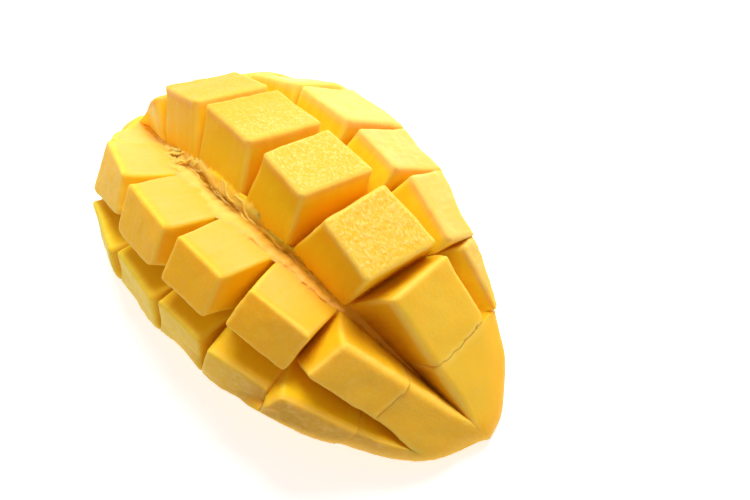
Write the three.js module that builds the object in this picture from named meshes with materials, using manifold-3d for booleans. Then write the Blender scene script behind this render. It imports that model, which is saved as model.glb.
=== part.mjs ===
// A mango half, scored into cubes and pushed inside out, lying on its rim.
// The half is first described flat: x runs along it, y across it, and depth goes down from the
// flat cut face to the peel. Every cube is then carried rigidly to its place on the pushed-out
// half, and the thin layer left under the cubes is bent smoothly to follow them.
// Millimetres and degrees.
import * as THREE from 'three';
import { mergeVertices } from 'three/addons/utils/BufferGeometryUtils.js';
import Module from 'manifold-3d';

const wasm = await Module();
wasm.setup();

// ---- the half before it is pushed out ----
// The far end is at negative x and the near end at positive x, each at its length from x = 0. The
// cross cuts are places along x, and the peel with some flesh stays whole under the cuts.
const FAR_LENGTH = 56;
const NEAR_LENGTH = 84.4;
const FLESH_DEPTH = 20;
const CROSS_CUTS = [-36.5, -17.5, 1.5, 17.5, 35.6, 54.8];
const KERF = 0.35;
const PEEL = 1.3;
const LAYER = 3.4;

// ---- how far it is bent ----
// The far end climbs at the first pitch, and every cross cut bends the half down by its own share.
// The middle cut opens to the groove width and follows the peel's depth in part.
const FIRST_PITCH = 60;
const CUT_BENDS = [23, 20, 18, 24, 23];
const GROOVE_WIDTH = 2.9;
const GROOVE_FOLLOW = 0.8;

// One record for each side of the middle cut. `power` squares off the outline, from the middle of
// the half to its near tip, between the two places in `bluntAt`, and `endRim` rounds its edge there.
// Column by column, `lean` tips the inner cubes away from the middle cut and `fold` tips the outer
// cubes further. `turn` spins the inner and the outer cubes on their own uprights, more from column
// to column, and `shift` slides them along. `slants` are how far each cross cut drifts along for
// every millimetre across. `lastSkew` spins the last cubes further, first along and then across.
// Only the first `outerColumns` columns have an outer cube. `swells` are swollen or drawn-in
// stretches of the outline: where along, how long and how far out.
const SIDES = [
  {
    sign: 1,
    halfWidth: 37,
    innerWidth: 19,
    power: [1.25, 1.92],
    bluntAt: [34, 72],
    endRim: 8.5,
    lean: [29, 36.5, 39.5, 37, 26.5, 17],
    fold: [15, 18, 21, 23, 24.5, 20.5],
    turn: [-6.5, -0.5],
    turnStep: [-6.5, -6.4],
    shift: [2.8, 1.3],
    slants: [0.2, 0.15, 0.05, 0.05, 0.05, -0.04],
    lastSkew: [0, 0],
    outerColumns: 6,
    swells: [[12, 22, 1.6]],
  },
  {
    sign: -1,
    halfWidth: 26.5,
    innerWidth: 13,
    power: [2.5, 3.8],
    bluntAt: [32, 58],
    endRim: 9.5,
    lean: [27, 30.5, 36.5, 37, 28, 9],
    fold: [22, 25, 27, 28, 28, 24],
    turn: [-1, 1.4],
    turnStep: [5.2, 7.2],
    shift: [1.3, -0.1],
    slants: [0, 0.05, 0, 0, 0, 0.1],
    lastSkew: [4.5, -13],
    outerColumns: 7,
    swells: [[-3, 9, 1.3], [39, 9, -3]],
  },
];

// The knife went in unevenly, so the corners of a cut face lie off their regular places. By side, row
// and column: how far along, outward and up, for the far inner, near inner, near outer and far outer
// one, and less further down the cube.
const CORNER_MOVES = {
  '0,0,0': [[0, 0, -1.8], [0, 0, -1.8], [0, 0, -1.8], [0, 0, -1.8]],
  '0,0,1': [[-2.2, 0, 0], [0, 0, 0], [0, 0.5, 0], [-2.2, 0.5, 0]],
  '0,0,2': [[-1.7, 0, 0], [0, 0, 0], [0, 1.6, 0], [-2.5, 1, 0]],
  '0,0,3': [[-0.3, 0, 0], [0, 0, 0], [0, 2, 0], [-1, 0.8, 0]],
  '0,0,4': [[0, 0, 0], [0, 0, 0], [0.3, 2.4, 0], [-0.5, 0.5, 0]],
  '0,0,5': [[0, 0, 0], [0, 0, 0], [-0.5, -0.8, 0], [0, 0, 0]],
  '0,1,0': [[0, 0, -1.8], [0, 0, -1.8], [0, 0, -1.8], [0, 0, -1.8]],
  '0,1,1': [[-1.5, 0, 0], [0, 0, 0.8], [0, 0, 1.8], [-1.5, 0, -1.2]],
  '0,1,2': [[-1.5, 0, 1.8], [0.8, 0, 1.6], [0.8, 0, 1.8], [-1.5, 0, 2.6]],
  '0,1,3': [[0.5, 0, 1.6], [0.9, 0, 1.6], [0.9, 0, 1.6], [0.5, 0, 1.6]],
  '0,1,4': [[-0.3, 0, 1.3], [0.5, 0, 1.3], [0.5, 0, 1.3], [-0.3, 0, 1.3]],
  '0,1,5': [[0, 0, 0.6], [0, 0, 0.6], [0, 0, 0.6], [0, 0, 0.6]],
  '1,0,1': [[-0.8, 0, 0], [0, 0, 0], [0.8, -1.2, -1.6], [-0.8, 2.2, 0]],
  '1,0,2': [[-0.3, 0, 0], [0, 0, 0], [0, 0.3, 0], [-0.3, 1.6, 0]],
  '1,0,3': [[-0.5, 0, 0], [0, 0, 0], [0, 0.3, 0], [-0.5, 1.2, 0]],
  '1,0,4': [[0, 0, 0], [0, 0, 0], [0, -0.6, 0], [0, -0.6, 0]],
  '1,0,5': [[0, 0, 0], [0, 0, 0], [-0.6, 0, 0], [0.8, -0.4, 0]],
};
const REGULAR_CORNERS = [[0, 0, 0], [0, 0, 0], [0, 0, 0], [0, 0, 0]];

// ---- softened edges ----
// The rim of the cut face is sharp at the far end. Between the two places in END_RIM it widens, and
// between those in TIP_RIM it takes its width at the near tip.
const EDGE_RADIUS = 0.8;
const RIM_WIDTH = 0.9;
const END_RIM_DROP = 5;
const TIP_RIM_WIDTH = 8.5;
const END_RIM = [34, 64];
const TIP_RIM = [66, 80];

// ---- where the middle cut runs out ----
// The far end is dented and the near tip is swollen: how far, where across and how wide, and over
// which stretch along the dent or swelling builds up.
const FAR_DENT = 3.4;
const FAR_DENT_AT = 2;
const FAR_DENT_WIDTH = 3.7;
const FAR_DENT_ALONG = [42, 55];
const TIP_SWELL = 1;
const TIP_SWELL_AT = -3;
const TIP_SWELL_WIDTH = 6;
const TIP_SWELL_ALONG = [68, 84];
const SWELL_ACROSS = [0.4, 0.9];

// ---- how smoothly the layer under the cubes is bent ----
const BLEND_ALONG = 8;
const BLEND_ACROSS = 6;
const RIM_BLEND = 5;
const EMBED = 1.2;

// ---- lying on the floor ----
const REST_PITCH = -3.9;
const REST_ROLL = -0.3;
const FLOOR_TRIM = 1.5;

const MIDDLE_COLUMN = 3;
const LAST_FRAME = 5;
const LAST_TURNING = 4;
const COLUMNS = CROSS_CUTS.length + 1;

const radians = THREE.MathUtils.degToRad;
const vector = (x, y, z) => new THREE.Vector3(x, y, z);
const smooth = THREE.MathUtils.smoothstep;
const mix = THREE.MathUtils.lerp;

// ---- the flat half ----
// The outline is a superellipse, and its power sets how square it is.
function outline(x, side) {
  if (x < 0) {
    return { length: FAR_LENGTH, power: 2 };
  }
  const blunt = smooth(x, ...side.bluntAt);
  return { length: NEAR_LENGTH, power: mix(...side.power, blunt) };
}

// 0 over the middle of the half and 1 on its outline.
function spread(x, y, side) {
  const { length, power } = outline(x, side);
  return ((Math.abs(x) / length) ** power + (Math.abs(y) / side.halfWidth) ** power) ** (1 / power);
}

function depthAt(x, y, side) {
  return FLESH_DEPTH * Math.sqrt(Math.max(0, 1 - spread(x, y, side) ** 2));
}

// The spread at which the peel reaches one depth.
function spreadAt(depth) {
  return Math.sqrt(Math.max(0, 1 - (depth / FLESH_DEPTH) ** 2));
}

// What is left for one direction of the outline when the other has used up `share` of it.
function remainder(whole, share, power) {
  return Math.max(0, whole ** power - share ** power) ** (1 / power);
}

// How far out a given spread is, at one place along.
function widthAt(x, whole, side) {
  const { length, power } = outline(x, side);
  return side.halfWidth * remainder(whole, Math.abs(x) / length, power);
}

// How far along the peel is, at one place across and one depth, towards an end of the half.
function reachAt(end, y, depth, side) {
  const { length, power } = outline(end, side);
  return Math.sign(end) * length * remainder(spreadAt(depth), Math.abs(y) / side.halfWidth, power);
}

// How far in from its edge the top starts to round over, and how far down the edge is.
function rimWidth(x, side) {
  const alongside = mix(RIM_WIDTH, side.endRim, smooth(x, ...END_RIM));
  return mix(alongside, TIP_RIM_WIDTH, smooth(x, ...TIP_RIM));
}

function rimDrop(x) {
  return mix(RIM_WIDTH, END_RIM_DROP, smooth(x, ...END_RIM));
}

// Distance in from the edge where the rounded rim meets the peel.
function rimDistance(x, y, side) {
  const step = 0.01;
  const here = spread(x, y, side);
  const slopeX = (spread(x + step, y, side) - spread(x - step, y, side)) / (2 * step);
  const slopeY = (spread(x, y + step, side) - spread(x, y - step, side)) / (2 * step);
  return (spreadAt(rimDrop(x)) - here) / Math.max(1e-6, Math.hypot(slopeX, slopeY));
}

function roundOver(distance, width, drop) {
  const left = THREE.MathUtils.clamp(1 - distance / width, 0, 1);
  return drop * (1 - Math.sqrt(1 - left * left));
}

// ---- where each cube goes ----
function columnMiddles() {
  const middles = [CROSS_CUTS[0] - 9];
  for (let cut = 0; cut < LAST_FRAME; cut += 1) {
    middles.push((CROSS_CUTS[cut] + CROSS_CUTS[cut + 1]) / 2);
  }
  return middles;
}

// The line along the bottom of the middle cut, one straight step for each column.
function spine() {
  const middles = columnMiddles();
  const depth = (x) => depthAt(x, 0, SIDES[0]);
  const steps = middles.map((middle, column) => {
    const bends = CUT_BENDS.slice(0, column).reduce((sum, bend) => sum + bend, 0);
    const pitch = radians(FIRST_PITCH - bends);
    return {
      middle,
      along: vector(Math.cos(pitch), 0, Math.sin(pitch)),
      up: vector(-Math.sin(pitch), 0, Math.cos(pitch)),
    };
  });
  steps[MIDDLE_COLUMN].foot = vector(0, 0, 0);
  const walk = (from, to, cut) => {
    to.foot = from.foot.clone()
      .addScaledVector(from.along, cut - from.middle)
      .addScaledVector(from.up, (depth(from.middle) - depth(cut)) * GROOVE_FOLLOW)
      .addScaledVector(to.along, to.middle - cut)
      .addScaledVector(to.up, (depth(cut) - depth(to.middle)) * GROOVE_FOLLOW);
  };
  for (let column = MIDDLE_COLUMN; column < LAST_FRAME; column += 1) {
    walk(steps[column], steps[column + 1], CROSS_CUTS[column]);
  }
  for (let column = MIDDLE_COLUMN; column > 0; column -= 1) {
    walk(steps[column], steps[column - 1], CROSS_CUTS[column - 1]);
  }
  return steps;
}

// Inner and outer cube of one side and column: a corner to measure from and three directions.
function cubeFrames(side, step, column) {
  const offset = Math.min(column, LAST_TURNING) - MIDDLE_COLUMN;
  const { sign } = side;
  const depth = depthAt(step.middle, 0, side);
  const up = step.up.clone().applyAxisAngle(step.along, -sign * radians(side.lean[column]));
  const innerTurn = radians(side.turn[0] + side.turnStep[0] * offset);
  const skew = (column === LAST_FRAME ? side.lastSkew : [0, 0]).map(radians);
  const along = step.along.clone().applyAxisAngle(up, innerTurn + skew[0]);
  const across = vector(0, sign, 0)
    .applyAxisAngle(step.along, -sign * radians(side.lean[column]))
    .applyAxisAngle(up, innerTurn + skew[1]);
  const corner = step.foot.clone()
    .add(vector(0, sign * GROOVE_WIDTH / 2, 0))
    .addScaledVector(step.along, side.shift[0])
    .addScaledVector(up, depth);
  const inner = { middle: step.middle, start: 0, corner, along, across, up };

  const outerDepth = depthAt(step.middle, side.innerWidth, side);
  const fold = -sign * radians(side.fold[column]);
  const outerUp = up.clone().applyAxisAngle(along, fold);
  const outerTurn = radians(side.turn[1] + side.turnStep[1] * offset);
  const outer = {
    middle: step.middle,
    start: side.innerWidth,
    corner: corner.clone()
      .addScaledVector(across, side.innerWidth)
      .addScaledVector(up, -outerDepth)
      .addScaledVector(along, side.shift[1])
      .addScaledVector(outerUp, outerDepth),
    along: along.clone().applyAxisAngle(outerUp, outerTurn),
    across: across.clone().applyAxisAngle(along, fold).applyAxisAngle(outerUp, outerTurn),
    up: outerUp,
  };
  return [inner, outer];
}

const SPINE = spine();
const FRAMES = SIDES.map((side) => SPINE.map((step, column) => cubeFrames(side, step, column)));

// Where one cube carries a point of the flat half, `across` being its distance from the middle cut.
function rigid(frame, x, across, depth) {
  return frame.corner.clone()
    .addScaledVector(frame.along, x - frame.middle)
    .addScaledVector(frame.across, across - frame.start)
    .addScaledVector(frame.up, -depth);
}

// How far a point has passed a cut, from 0 well before it to 1 well after it.
function passed(position, cut, blend) {
  return smooth(position, cut - blend, cut + blend);
}

function hump(value, middle, width) {
  return Math.exp(-(((value - middle) / width) ** 2));
}

// A point of the even half, moved to where it is on the dented and swollen one.
function drawn(x, y, depth) {
  const tip = TIP_SWELL * smooth(x, ...TIP_SWELL_ALONG) * hump(y, TIP_SWELL_AT, TIP_SWELL_WIDTH);
  const dent = FAR_DENT * smooth(-x, ...FAR_DENT_ALONG) * hump(y, FAR_DENT_AT, FAR_DENT_WIDTH);
  let out = 0;
  SIDES.forEach((side) => {
    const onSide = smooth((side.sign * y) / side.halfWidth, ...SWELL_ACROSS);
    side.swells.forEach(([middle, length, height]) => {
      out += side.sign * height * hump(x, middle, length) * onSide;
    });
  });
  return [x + tip, y + out, depth + dent];
}

// The place every nearby cube would carry a point to, averaged so that the result is smooth.
function bent(evenX, evenY, evenDepth) {
  const [x, y, depth] = drawn(evenX, evenY, evenDepth);
  const place = vector(0, 0, 0);
  const sideShare = passed(y, 0, BLEND_ACROSS);
  for (let column = 0; column <= LAST_FRAME; column += 1) {
    const begun = column === 0 ? 1 : passed(x, CROSS_CUTS[column - 1], BLEND_ALONG);
    const ended = column === LAST_FRAME ? 0 : passed(x, CROSS_CUTS[column], BLEND_ALONG);
    const columnShare = begun * (1 - ended);
    if (columnShare === 0) {
      continue;
    }
    SIDES.forEach((side, index) => {
      const share = (side.sign > 0 ? sideShare : 1 - sideShare) * columnShare;
      const across = side.sign * y;
      const outerShare = passed(across, side.innerWidth, BLEND_ACROSS);
      const [inner, outer] = FRAMES[index][column];
      place.addScaledVector(rigid(inner, x, across, depth), share * (1 - outerShare));
      place.addScaledVector(rigid(outer, x, across, depth), share * outerShare);
    });
  }
  return place;
}

// ---- turning grids of points into closed bodies ----
function solidFromTriangles(points, triangles) {
  const position = new Float32Array(triangles.length * 9);
  triangles.forEach((corners, index) => {
    corners.forEach((corner, place) => points[corner].toArray(position, index * 9 + place * 3));
  });
  const loose = new THREE.BufferGeometry();
  loose.setAttribute('position', new THREE.BufferAttribute(position, 3));
  const merged = mergeVertices(loose, 1e-4);
  const index = merged.getIndex().array;
  const kept = [];
  for (let i = 0; i < index.length; i += 3) {
    const [a, b, c] = [index[i], index[i + 1], index[i + 2]];
    if (a !== b && b !== c && c !== a) {
      kept.push(a, b, c);
    }
  }
  return new wasm.Manifold(new wasm.Mesh({
    numProp: 3,
    vertProperties: Float32Array.from(merged.getAttribute('position').array),
    triVerts: Uint32Array.from(kept),
  }));
}

// Two stacked grids of the same size, joined round their edges by `levels` rows of walls.
function boxOfGrids(columns, rows, levels, pointAt, flip) {
  const points = [];
  const triangles = [];
  const number = new Map();
  const at = (i, j, k) => {
    const key = `${i},${j},${k}`;
    if (!number.has(key)) {
      number.set(key, points.length);
      points.push(pointAt(i, j, k));
    }
    return number.get(key);
  };
  const quad = (a, b, c, d) => {
    if (flip) {
      triangles.push([a, c, b], [a, d, c]);
    } else {
      triangles.push([a, b, c], [a, c, d]);
    }
  };
  for (let i = 0; i < columns; i += 1) {
    for (let j = 0; j < rows; j += 1) {
      quad(at(i, j, 0), at(i + 1, j, 0), at(i + 1, j + 1, 0), at(i, j + 1, 0));
      quad(at(i, j, levels), at(i, j + 1, levels), at(i + 1, j + 1, levels), at(i + 1, j, levels));
    }
  }
  for (let k = 0; k < levels; k += 1) {
    for (let i = 0; i < columns; i += 1) {
      quad(at(i, 0, k), at(i, 0, k + 1), at(i + 1, 0, k + 1), at(i + 1, 0, k));
      quad(at(i, rows, k), at(i + 1, rows, k), at(i + 1, rows, k + 1), at(i, rows, k + 1));
    }
    for (let j = 0; j < rows; j += 1) {
      quad(at(0, j, k), at(0, j + 1, k), at(0, j + 1, k + 1), at(0, j, k + 1));
      quad(at(columns, j, k), at(columns, j, k + 1), at(columns, j + 1, k + 1), at(columns, j + 1, k));
    }
  }
  return solidFromTriangles(points, triangles);
}

// ---- one cube ----
const SOFT_EDGE = [0, 0.3, 1];
const SOFT_RIM = [0, 0.1, 0.35, 1];
const SOFT_TIP = [0, 0.03, 0.12, 0.28, 0.55, 1];
const WALL_LEVELS = 2;

// Distances from a first wall to a second one `length` away, close together at both.
function wallToWall(length, firstRadius, first, secondRadius, second) {
  const room = Math.min(1, (0.98 * length) / (firstRadius + secondRadius));
  const start = first.map((share) => share * firstRadius * room);
  const finish = second.map((share) => length - share * secondRadius * room).reverse();
  return [...start, ...finish];
}

function cube(sideIndex, ring, column) {
  const side = SIDES[sideIndex];
  const frame = FRAMES[sideIndex][Math.min(column, LAST_FRAME)][ring];
  const inner = ring === 0 ? KERF / 2 : side.innerWidth + KERF / 2;
  const toRim = ring === 1 || column >= side.outerColumns;
  const outerCut = toRim ? Infinity : side.innerWidth - KERF / 2;
  const farEnd = column === 0;
  const nearEnd = column === COLUMNS - 1;
  const tuck = PEEL / 2;

  const rimDepth = (x, level) => {
    const top = rimDrop(x);
    const bottom = Math.max(top, 0.55 * depthAt(x, inner, side));
    return mix(top, bottom, level);
  };
  const farSlant = farEnd ? 0 : side.slants[column - 1];
  const nearSlant = nearEnd ? 0 : side.slants[column];
  const tip = (end, level) => {
    return reachAt(end, inner, rimDepth(end, level), side) - Math.sign(end) * tuck;
  };
  const limits = (level) => [
    farEnd ? tip(-FAR_LENGTH, level) : CROSS_CUTS[column - 1] + KERF / 2,
    nearEnd ? tip(NEAR_LENGTH, level) : CROSS_CUTS[column] - KERF / 2,
  ];
  const [topFar, topNear] = limits(0);
  if (topNear - topFar < 3) {
    return null;
  }
  const lengthwise = farEnd || nearEnd
    ? endLines(topNear - topFar, nearEnd)
    : wallToWall(topNear - topFar, EDGE_RADIUS, SOFT_EDGE, EDGE_RADIUS, SOFT_EDGE);
  const outerAt = (x, level) => {
    return Math.min(outerCut, widthAt(x, spreadAt(rimDepth(x, level)), side) - tuck);
  };
  if (outerAt((topFar + topNear) / 2, 0) - inner < 2) {
    return null;
  }
  const moves = CORNER_MOVES[[sideIndex, ring, column]] ?? REGULAR_CORNERS;
  const [farInner, nearInner, nearOuter, farOuter] = moves.map((move) => vector(...move));
  const cutToCut = ring === 0 && !farEnd && !nearEnd;
  const outside = cutToCut ? SOFT_EDGE : nearEnd ? SOFT_TIP : SOFT_RIM;
  const rows = SOFT_EDGE.length + outside.length;

  const pointAt = (i, j, k) => {
    const level = k / WALL_LEVELS;
    const [far, near] = limits(level);
    const share = lengthwise[i] / (topNear - topFar);
    const straight = far + share * (near - far);
    const width = Math.max(0, outerAt(straight, level) - inner);
    const onRim = width + inner < outerCut - 1e-6;
    const rounded = onRim ? rimWidth(straight, side) : EDGE_RADIUS;
    const across = wallToWall(width, EDGE_RADIUS, SOFT_EDGE, rounded, outside);
    const regular = inner + Math.min(width, across[j]);
    const innerMove = farInner.clone().lerp(nearInner, share);
    const outerMove = farOuter.clone().lerp(nearOuter, share);
    const move = innerMove.lerp(outerMove, width > 0 ? (regular - inner) / width : 0);
    move.multiplyScalar(1 - level);
    const x = straight + regular * mix(farSlant, nearSlant, share) + move.x;
    const w = regular + move.y;
    const y = side.sign * w;
    const walls = [regular - inner];
    if (!farEnd) walls.push(straight - far);
    if (!nearEnd) walls.push(near - straight);
    if (outerCut < Infinity) walls.push(outerCut - regular);
    const full = depthAt(x, y, side);
    const rim = rimDistance(x, y, side) - tuck;
    const edges = walls.map((distance) => roundOver(distance, EDGE_RADIUS, EDGE_RADIUS));
    const top = Math.max(...edges, roundOver(rim, rimWidth(x, side), rimDrop(x))) - move.z;
    const depth = mix(top, Math.max(top, full - EMBED), level);
    const follow = Math.max(level ** 2, smooth(RIM_BLEND - rim, 0, RIM_BLEND));
    const [drawnX, drawnY, drawnDepth] = drawn(x, y, depth);
    return rigid(frame, drawnX, side.sign * drawnY, drawnDepth).lerp(bent(x, y, depth), follow);
  };
  const flip = side.sign < 0;
  return boxOfGrids(lengthwise.length - 1, rows - 1, WALL_LEVELS, pointAt, flip);
}

// Distances along an end cube, closing up towards the tip of the half.
function endLines(length, nearEnd) {
  const count = 9;
  const soft = SOFT_EDGE.map((share) => share * EDGE_RADIUS);
  const rest = [];
  for (let i = 1; i <= count; i += 1) {
    rest.push(EDGE_RADIUS + (length - EDGE_RADIUS) * Math.sin((Math.PI / 2) * (i / count)));
  }
  const fromCut = [...soft, ...rest];
  return nearEnd ? fromCut : fromCut.map((d) => length - d).reverse();
}

// ---- the layer left under the cubes, with the peel on its outside ----
const LAYER_RINGS = 10;
const LAYER_SPOKES = 60;
const RIM_STEP = 0.8;

function layer() {
  const points = [];
  const triangles = [];
  const ringPoint = (spoke, ring, inset, thickness, step) => {
    const angle = (2 * Math.PI * spoke) / LAYER_SPOKES;
    const side = Math.sin(angle) >= 0 ? SIDES[0] : SIDES[1];
    const end = Math.cos(angle) < 0 ? -FAR_LENGTH : NEAR_LENGTH;
    const { power } = outline(end / 2, side);
    const along = end * Math.abs(Math.cos(angle)) ** (2 / power);
    const deep = FLESH_DEPTH - thickness;
    const edge = Math.acos((rimDrop(along) + step) / deep);
    const out = Math.sin((edge * ring) / LAYER_RINGS);
    const x = out * along;
    const y = side.sign * widthAt(x, out, side);
    const shrink = 1 - inset / side.halfWidth;
    return bent(x - (inset * x) / Math.abs(end), y * shrink, deep * Math.cos((edge * ring) / LAYER_RINGS));
  };
  const start = (surface) => surface * (1 + LAYER_RINGS * LAYER_SPOKES);
  const at = (surface, ring, spoke) => {
    return start(surface) + (ring === 0 ? 0 : 1 + (ring - 1) * LAYER_SPOKES + (spoke % LAYER_SPOKES));
  };
  [[0, 0, 0], [PEEL, LAYER, RIM_STEP]].forEach((surface) => {
    points.push(ringPoint(0, 0, ...surface));
    for (let ring = 1; ring <= LAYER_RINGS; ring += 1) {
      for (let spoke = 0; spoke < LAYER_SPOKES; spoke += 1) {
        points.push(ringPoint(spoke, ring, ...surface));
      }
    }
  });
  const face = (surface, a, b, c) => triangles.push(surface === 0 ? [a, c, b] : [a, b, c]);
  [0, 1].forEach((surface) => {
    for (let spoke = 0; spoke < LAYER_SPOKES; spoke += 1) {
      face(surface, at(surface, 0, 0), at(surface, 1, spoke), at(surface, 1, spoke + 1));
      for (let ring = 1; ring < LAYER_RINGS; ring += 1) {
        const [a, b] = [at(surface, ring, spoke), at(surface, ring, spoke + 1)];
        const [c, d] = [at(surface, ring + 1, spoke), at(surface, ring + 1, spoke + 1)];
        face(surface, a, c, d);
        face(surface, a, d, b);
      }
    }
  });
  for (let spoke = 0; spoke < LAYER_SPOKES; spoke += 1) {
    const [a, b] = [at(0, LAYER_RINGS, spoke), at(0, LAYER_RINGS, spoke + 1)];
    const [c, d] = [at(1, LAYER_RINGS, spoke), at(1, LAYER_RINGS, spoke + 1)];
    triangles.push([a, b, d], [a, d, c]);
  }
  return solidFromTriangles(points, triangles);
}

// ---- the whole half ----
function half() {
  let body = layer();
  SIDES.forEach((side, sideIndex) => {
    for (let ring = 0; ring < 2; ring += 1) {
      for (let column = 0; column < (ring === 0 ? COLUMNS : side.outerColumns); column += 1) {
        const block = cube(sideIndex, ring, column);
        if (block) {
          body = body.add(block);
        }
      }
    }
  });
  return withoutPockets(body);
}

// Closed pockets between touching cubes are filled, which leaves one outer surface.
function withoutPockets(body) {
  const largest = (solid) => solid.decompose().sort((a, b) => b.volume() - a.volume())[0];
  return largest(largest(body).simplify(0.05));
}

// Turned to lie on its rim, the spots that touch the floor made flat, and centred over the origin.
function laidDown(body) {
  const turned = body.rotate([0, REST_PITCH, 0]).rotate([REST_ROLL, 0, 0]);
  const floor = turned.boundingBox().min[2] + FLOOR_TRIM;
  const resting = turned.trimByPlane([0, 0, 1], floor);
  const { min, max } = resting.boundingBox();
  return resting.translate([-(min[0] + max[0]) / 2, -(min[1] + max[1]) / 2, -floor]);
}

function toGeometry(manifold) {
  const mesh = manifold.getMesh();
  const geometry = new THREE.BufferGeometry();
  geometry.setAttribute('position', new THREE.BufferAttribute(mesh.vertProperties.slice(), 3));
  geometry.setIndex(new THREE.BufferAttribute(mesh.triVerts.slice(), 1));
  return geometry;
}

const geometry = toGeometry(laidDown(half()));
geometry.computeVertexNormals();

const flesh = new THREE.MeshStandardMaterial({ name: 'mango_flesh', color: 0xf2b632, roughness: 0.4 });
const mango = new THREE.Mesh(geometry, flesh);
mango.name = 'mango_half';

const root = new THREE.Group();
root.name = 'cubed_mango_half';
root.add(mango);
export default root;
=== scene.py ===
import itertools
from collections import namedtuple

import bmesh
import bpy
import numpy as np
from mathutils import Matrix, Vector


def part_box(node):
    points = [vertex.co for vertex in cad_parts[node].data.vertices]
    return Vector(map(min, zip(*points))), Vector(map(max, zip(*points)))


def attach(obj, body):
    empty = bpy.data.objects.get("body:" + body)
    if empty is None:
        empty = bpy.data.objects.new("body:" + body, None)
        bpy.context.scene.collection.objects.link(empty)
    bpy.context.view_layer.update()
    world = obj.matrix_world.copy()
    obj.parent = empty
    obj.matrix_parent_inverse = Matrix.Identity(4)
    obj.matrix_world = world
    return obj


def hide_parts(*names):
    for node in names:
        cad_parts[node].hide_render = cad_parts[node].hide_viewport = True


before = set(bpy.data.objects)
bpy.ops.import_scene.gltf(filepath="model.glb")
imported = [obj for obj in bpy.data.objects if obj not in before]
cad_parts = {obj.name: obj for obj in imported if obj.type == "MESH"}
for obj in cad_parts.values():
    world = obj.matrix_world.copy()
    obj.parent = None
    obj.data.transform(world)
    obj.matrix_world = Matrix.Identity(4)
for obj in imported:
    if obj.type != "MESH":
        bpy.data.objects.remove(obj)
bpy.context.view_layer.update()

MILLIMETRE = 0.001
NODE = "mango_half"
# What the material reads at every point, and how many numbers each value has.
VALUE_SIZES = {"flat": 3, "tint": 3, "peel": 1, "stipple": 1}

# ---- the half before it is pushed out, in millimetres ----
# x runs along the half from the far end (negative) to the near end, y runs across it, and depth goes
# down from the flat cut face to the peel.
FAR_LENGTH = 56
NEAR_LENGTH = 84.4
FLESH_DEPTH = 20
CROSS_CUTS = (-36.5, -17.5, 1.5, 17.5, 35.6, 54.8)
KERF = 0.35
PEEL = 1.3
LAYER = 3.4
# How far inside the peel the cubes end, and how deep they reach there, as a share of the flesh.
TUCK = PEEL / 2
ROOT_SHARE = 0.55
# Shorter or narrower cubes are left out.
LEAST_CUBE = (3, 2)

# ---- how far it is bent, in degrees ----
FIRST_PITCH = 60
FAR_COLUMN_HALF = 9
CUT_BENDS = (23, 20, 18, 24, 23)
GROOVE_WIDTH = 2.9
GROOVE_FOLLOW = 0.8

# The wide and the narrow side of the middle cut, with the same meaning as in the CAD part: how square
# the outline is, how the cubes of each column lean, fold and turn, and how the cross cuts drift.
SIDE_PAIRS = {
    "sign": (1, -1),
    "half_width": (37, 26.5),
    "inner_width": (19, 13),
    "power": ((1.25, 1.92), (2.5, 3.8)),
    "blunt_at": ((34, 72), (32, 58)),
    "end_rim": (8.5, 9.5),
    "lean": ((29, 36.5, 39.5, 37, 26.5, 17), (27, 30.5, 36.5, 37, 28, 9)),
    "fold": ((15, 18, 21, 23, 24.5, 20.5), (22, 25, 27, 28, 28, 24)),
    "turn": ((-6.5, -0.5), (-1, 1.4)),
    "turn_step": ((-6.5, -6.4), (5.2, 7.2)),
    "shift": ((2.8, 1.3), (1.3, -0.1)),
    "slants": ((0.2, 0.15, 0.05, 0.05, 0.05, -0.04), (0, 0.05, 0, 0, 0, 0.1)),
    "last_skew": ((0, 0), (4.5, -13)),
    "outer_columns": (6, 7),
}
SIDES = [{key: pair[side] for key, pair in SIDE_PAIRS.items()} for side in range(2)]

# ---- softened edges ----
# The radius that the grid is laid for, then the edges' own: on each side of the middle cut, along
# it in the last columns, at a shut cut, and where a cut has run out.
EDGE_RADIUS = 0.8
SOFT_RADIUS = (1, 0.8)
GROOVE_EDGE_RADIUS = 2
GROOVE_EDGE_FROM = 5
CLOSED_RADIUS = 0.45
NO_RADIUS = 0.01
# The cubes' corners, seen from above, are rounded too: at the far inner, near inner, near outer and
# far outer corner, and more at the corners that the knife or the bending has torn.
CORNER_RADIUS = (1.4, 1.4, 1.2, 1.2)
ROOT_CORNER = 0.3
TORN_CORNERS = {
    (0, 0, 1): (2, 2, 1.5, 1.5),
    (0, 0, 5): (1.4, 2, 2.5, 1.2),
    (1, 0, 1): (1.2, 1.2, 2.5, 3),
    (1, 0, 2): (1.5, 1.5, 3, 2.8),
    (1, 0, 3): (1.2, 1.2, 1.6, 1.8),
}
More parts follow.
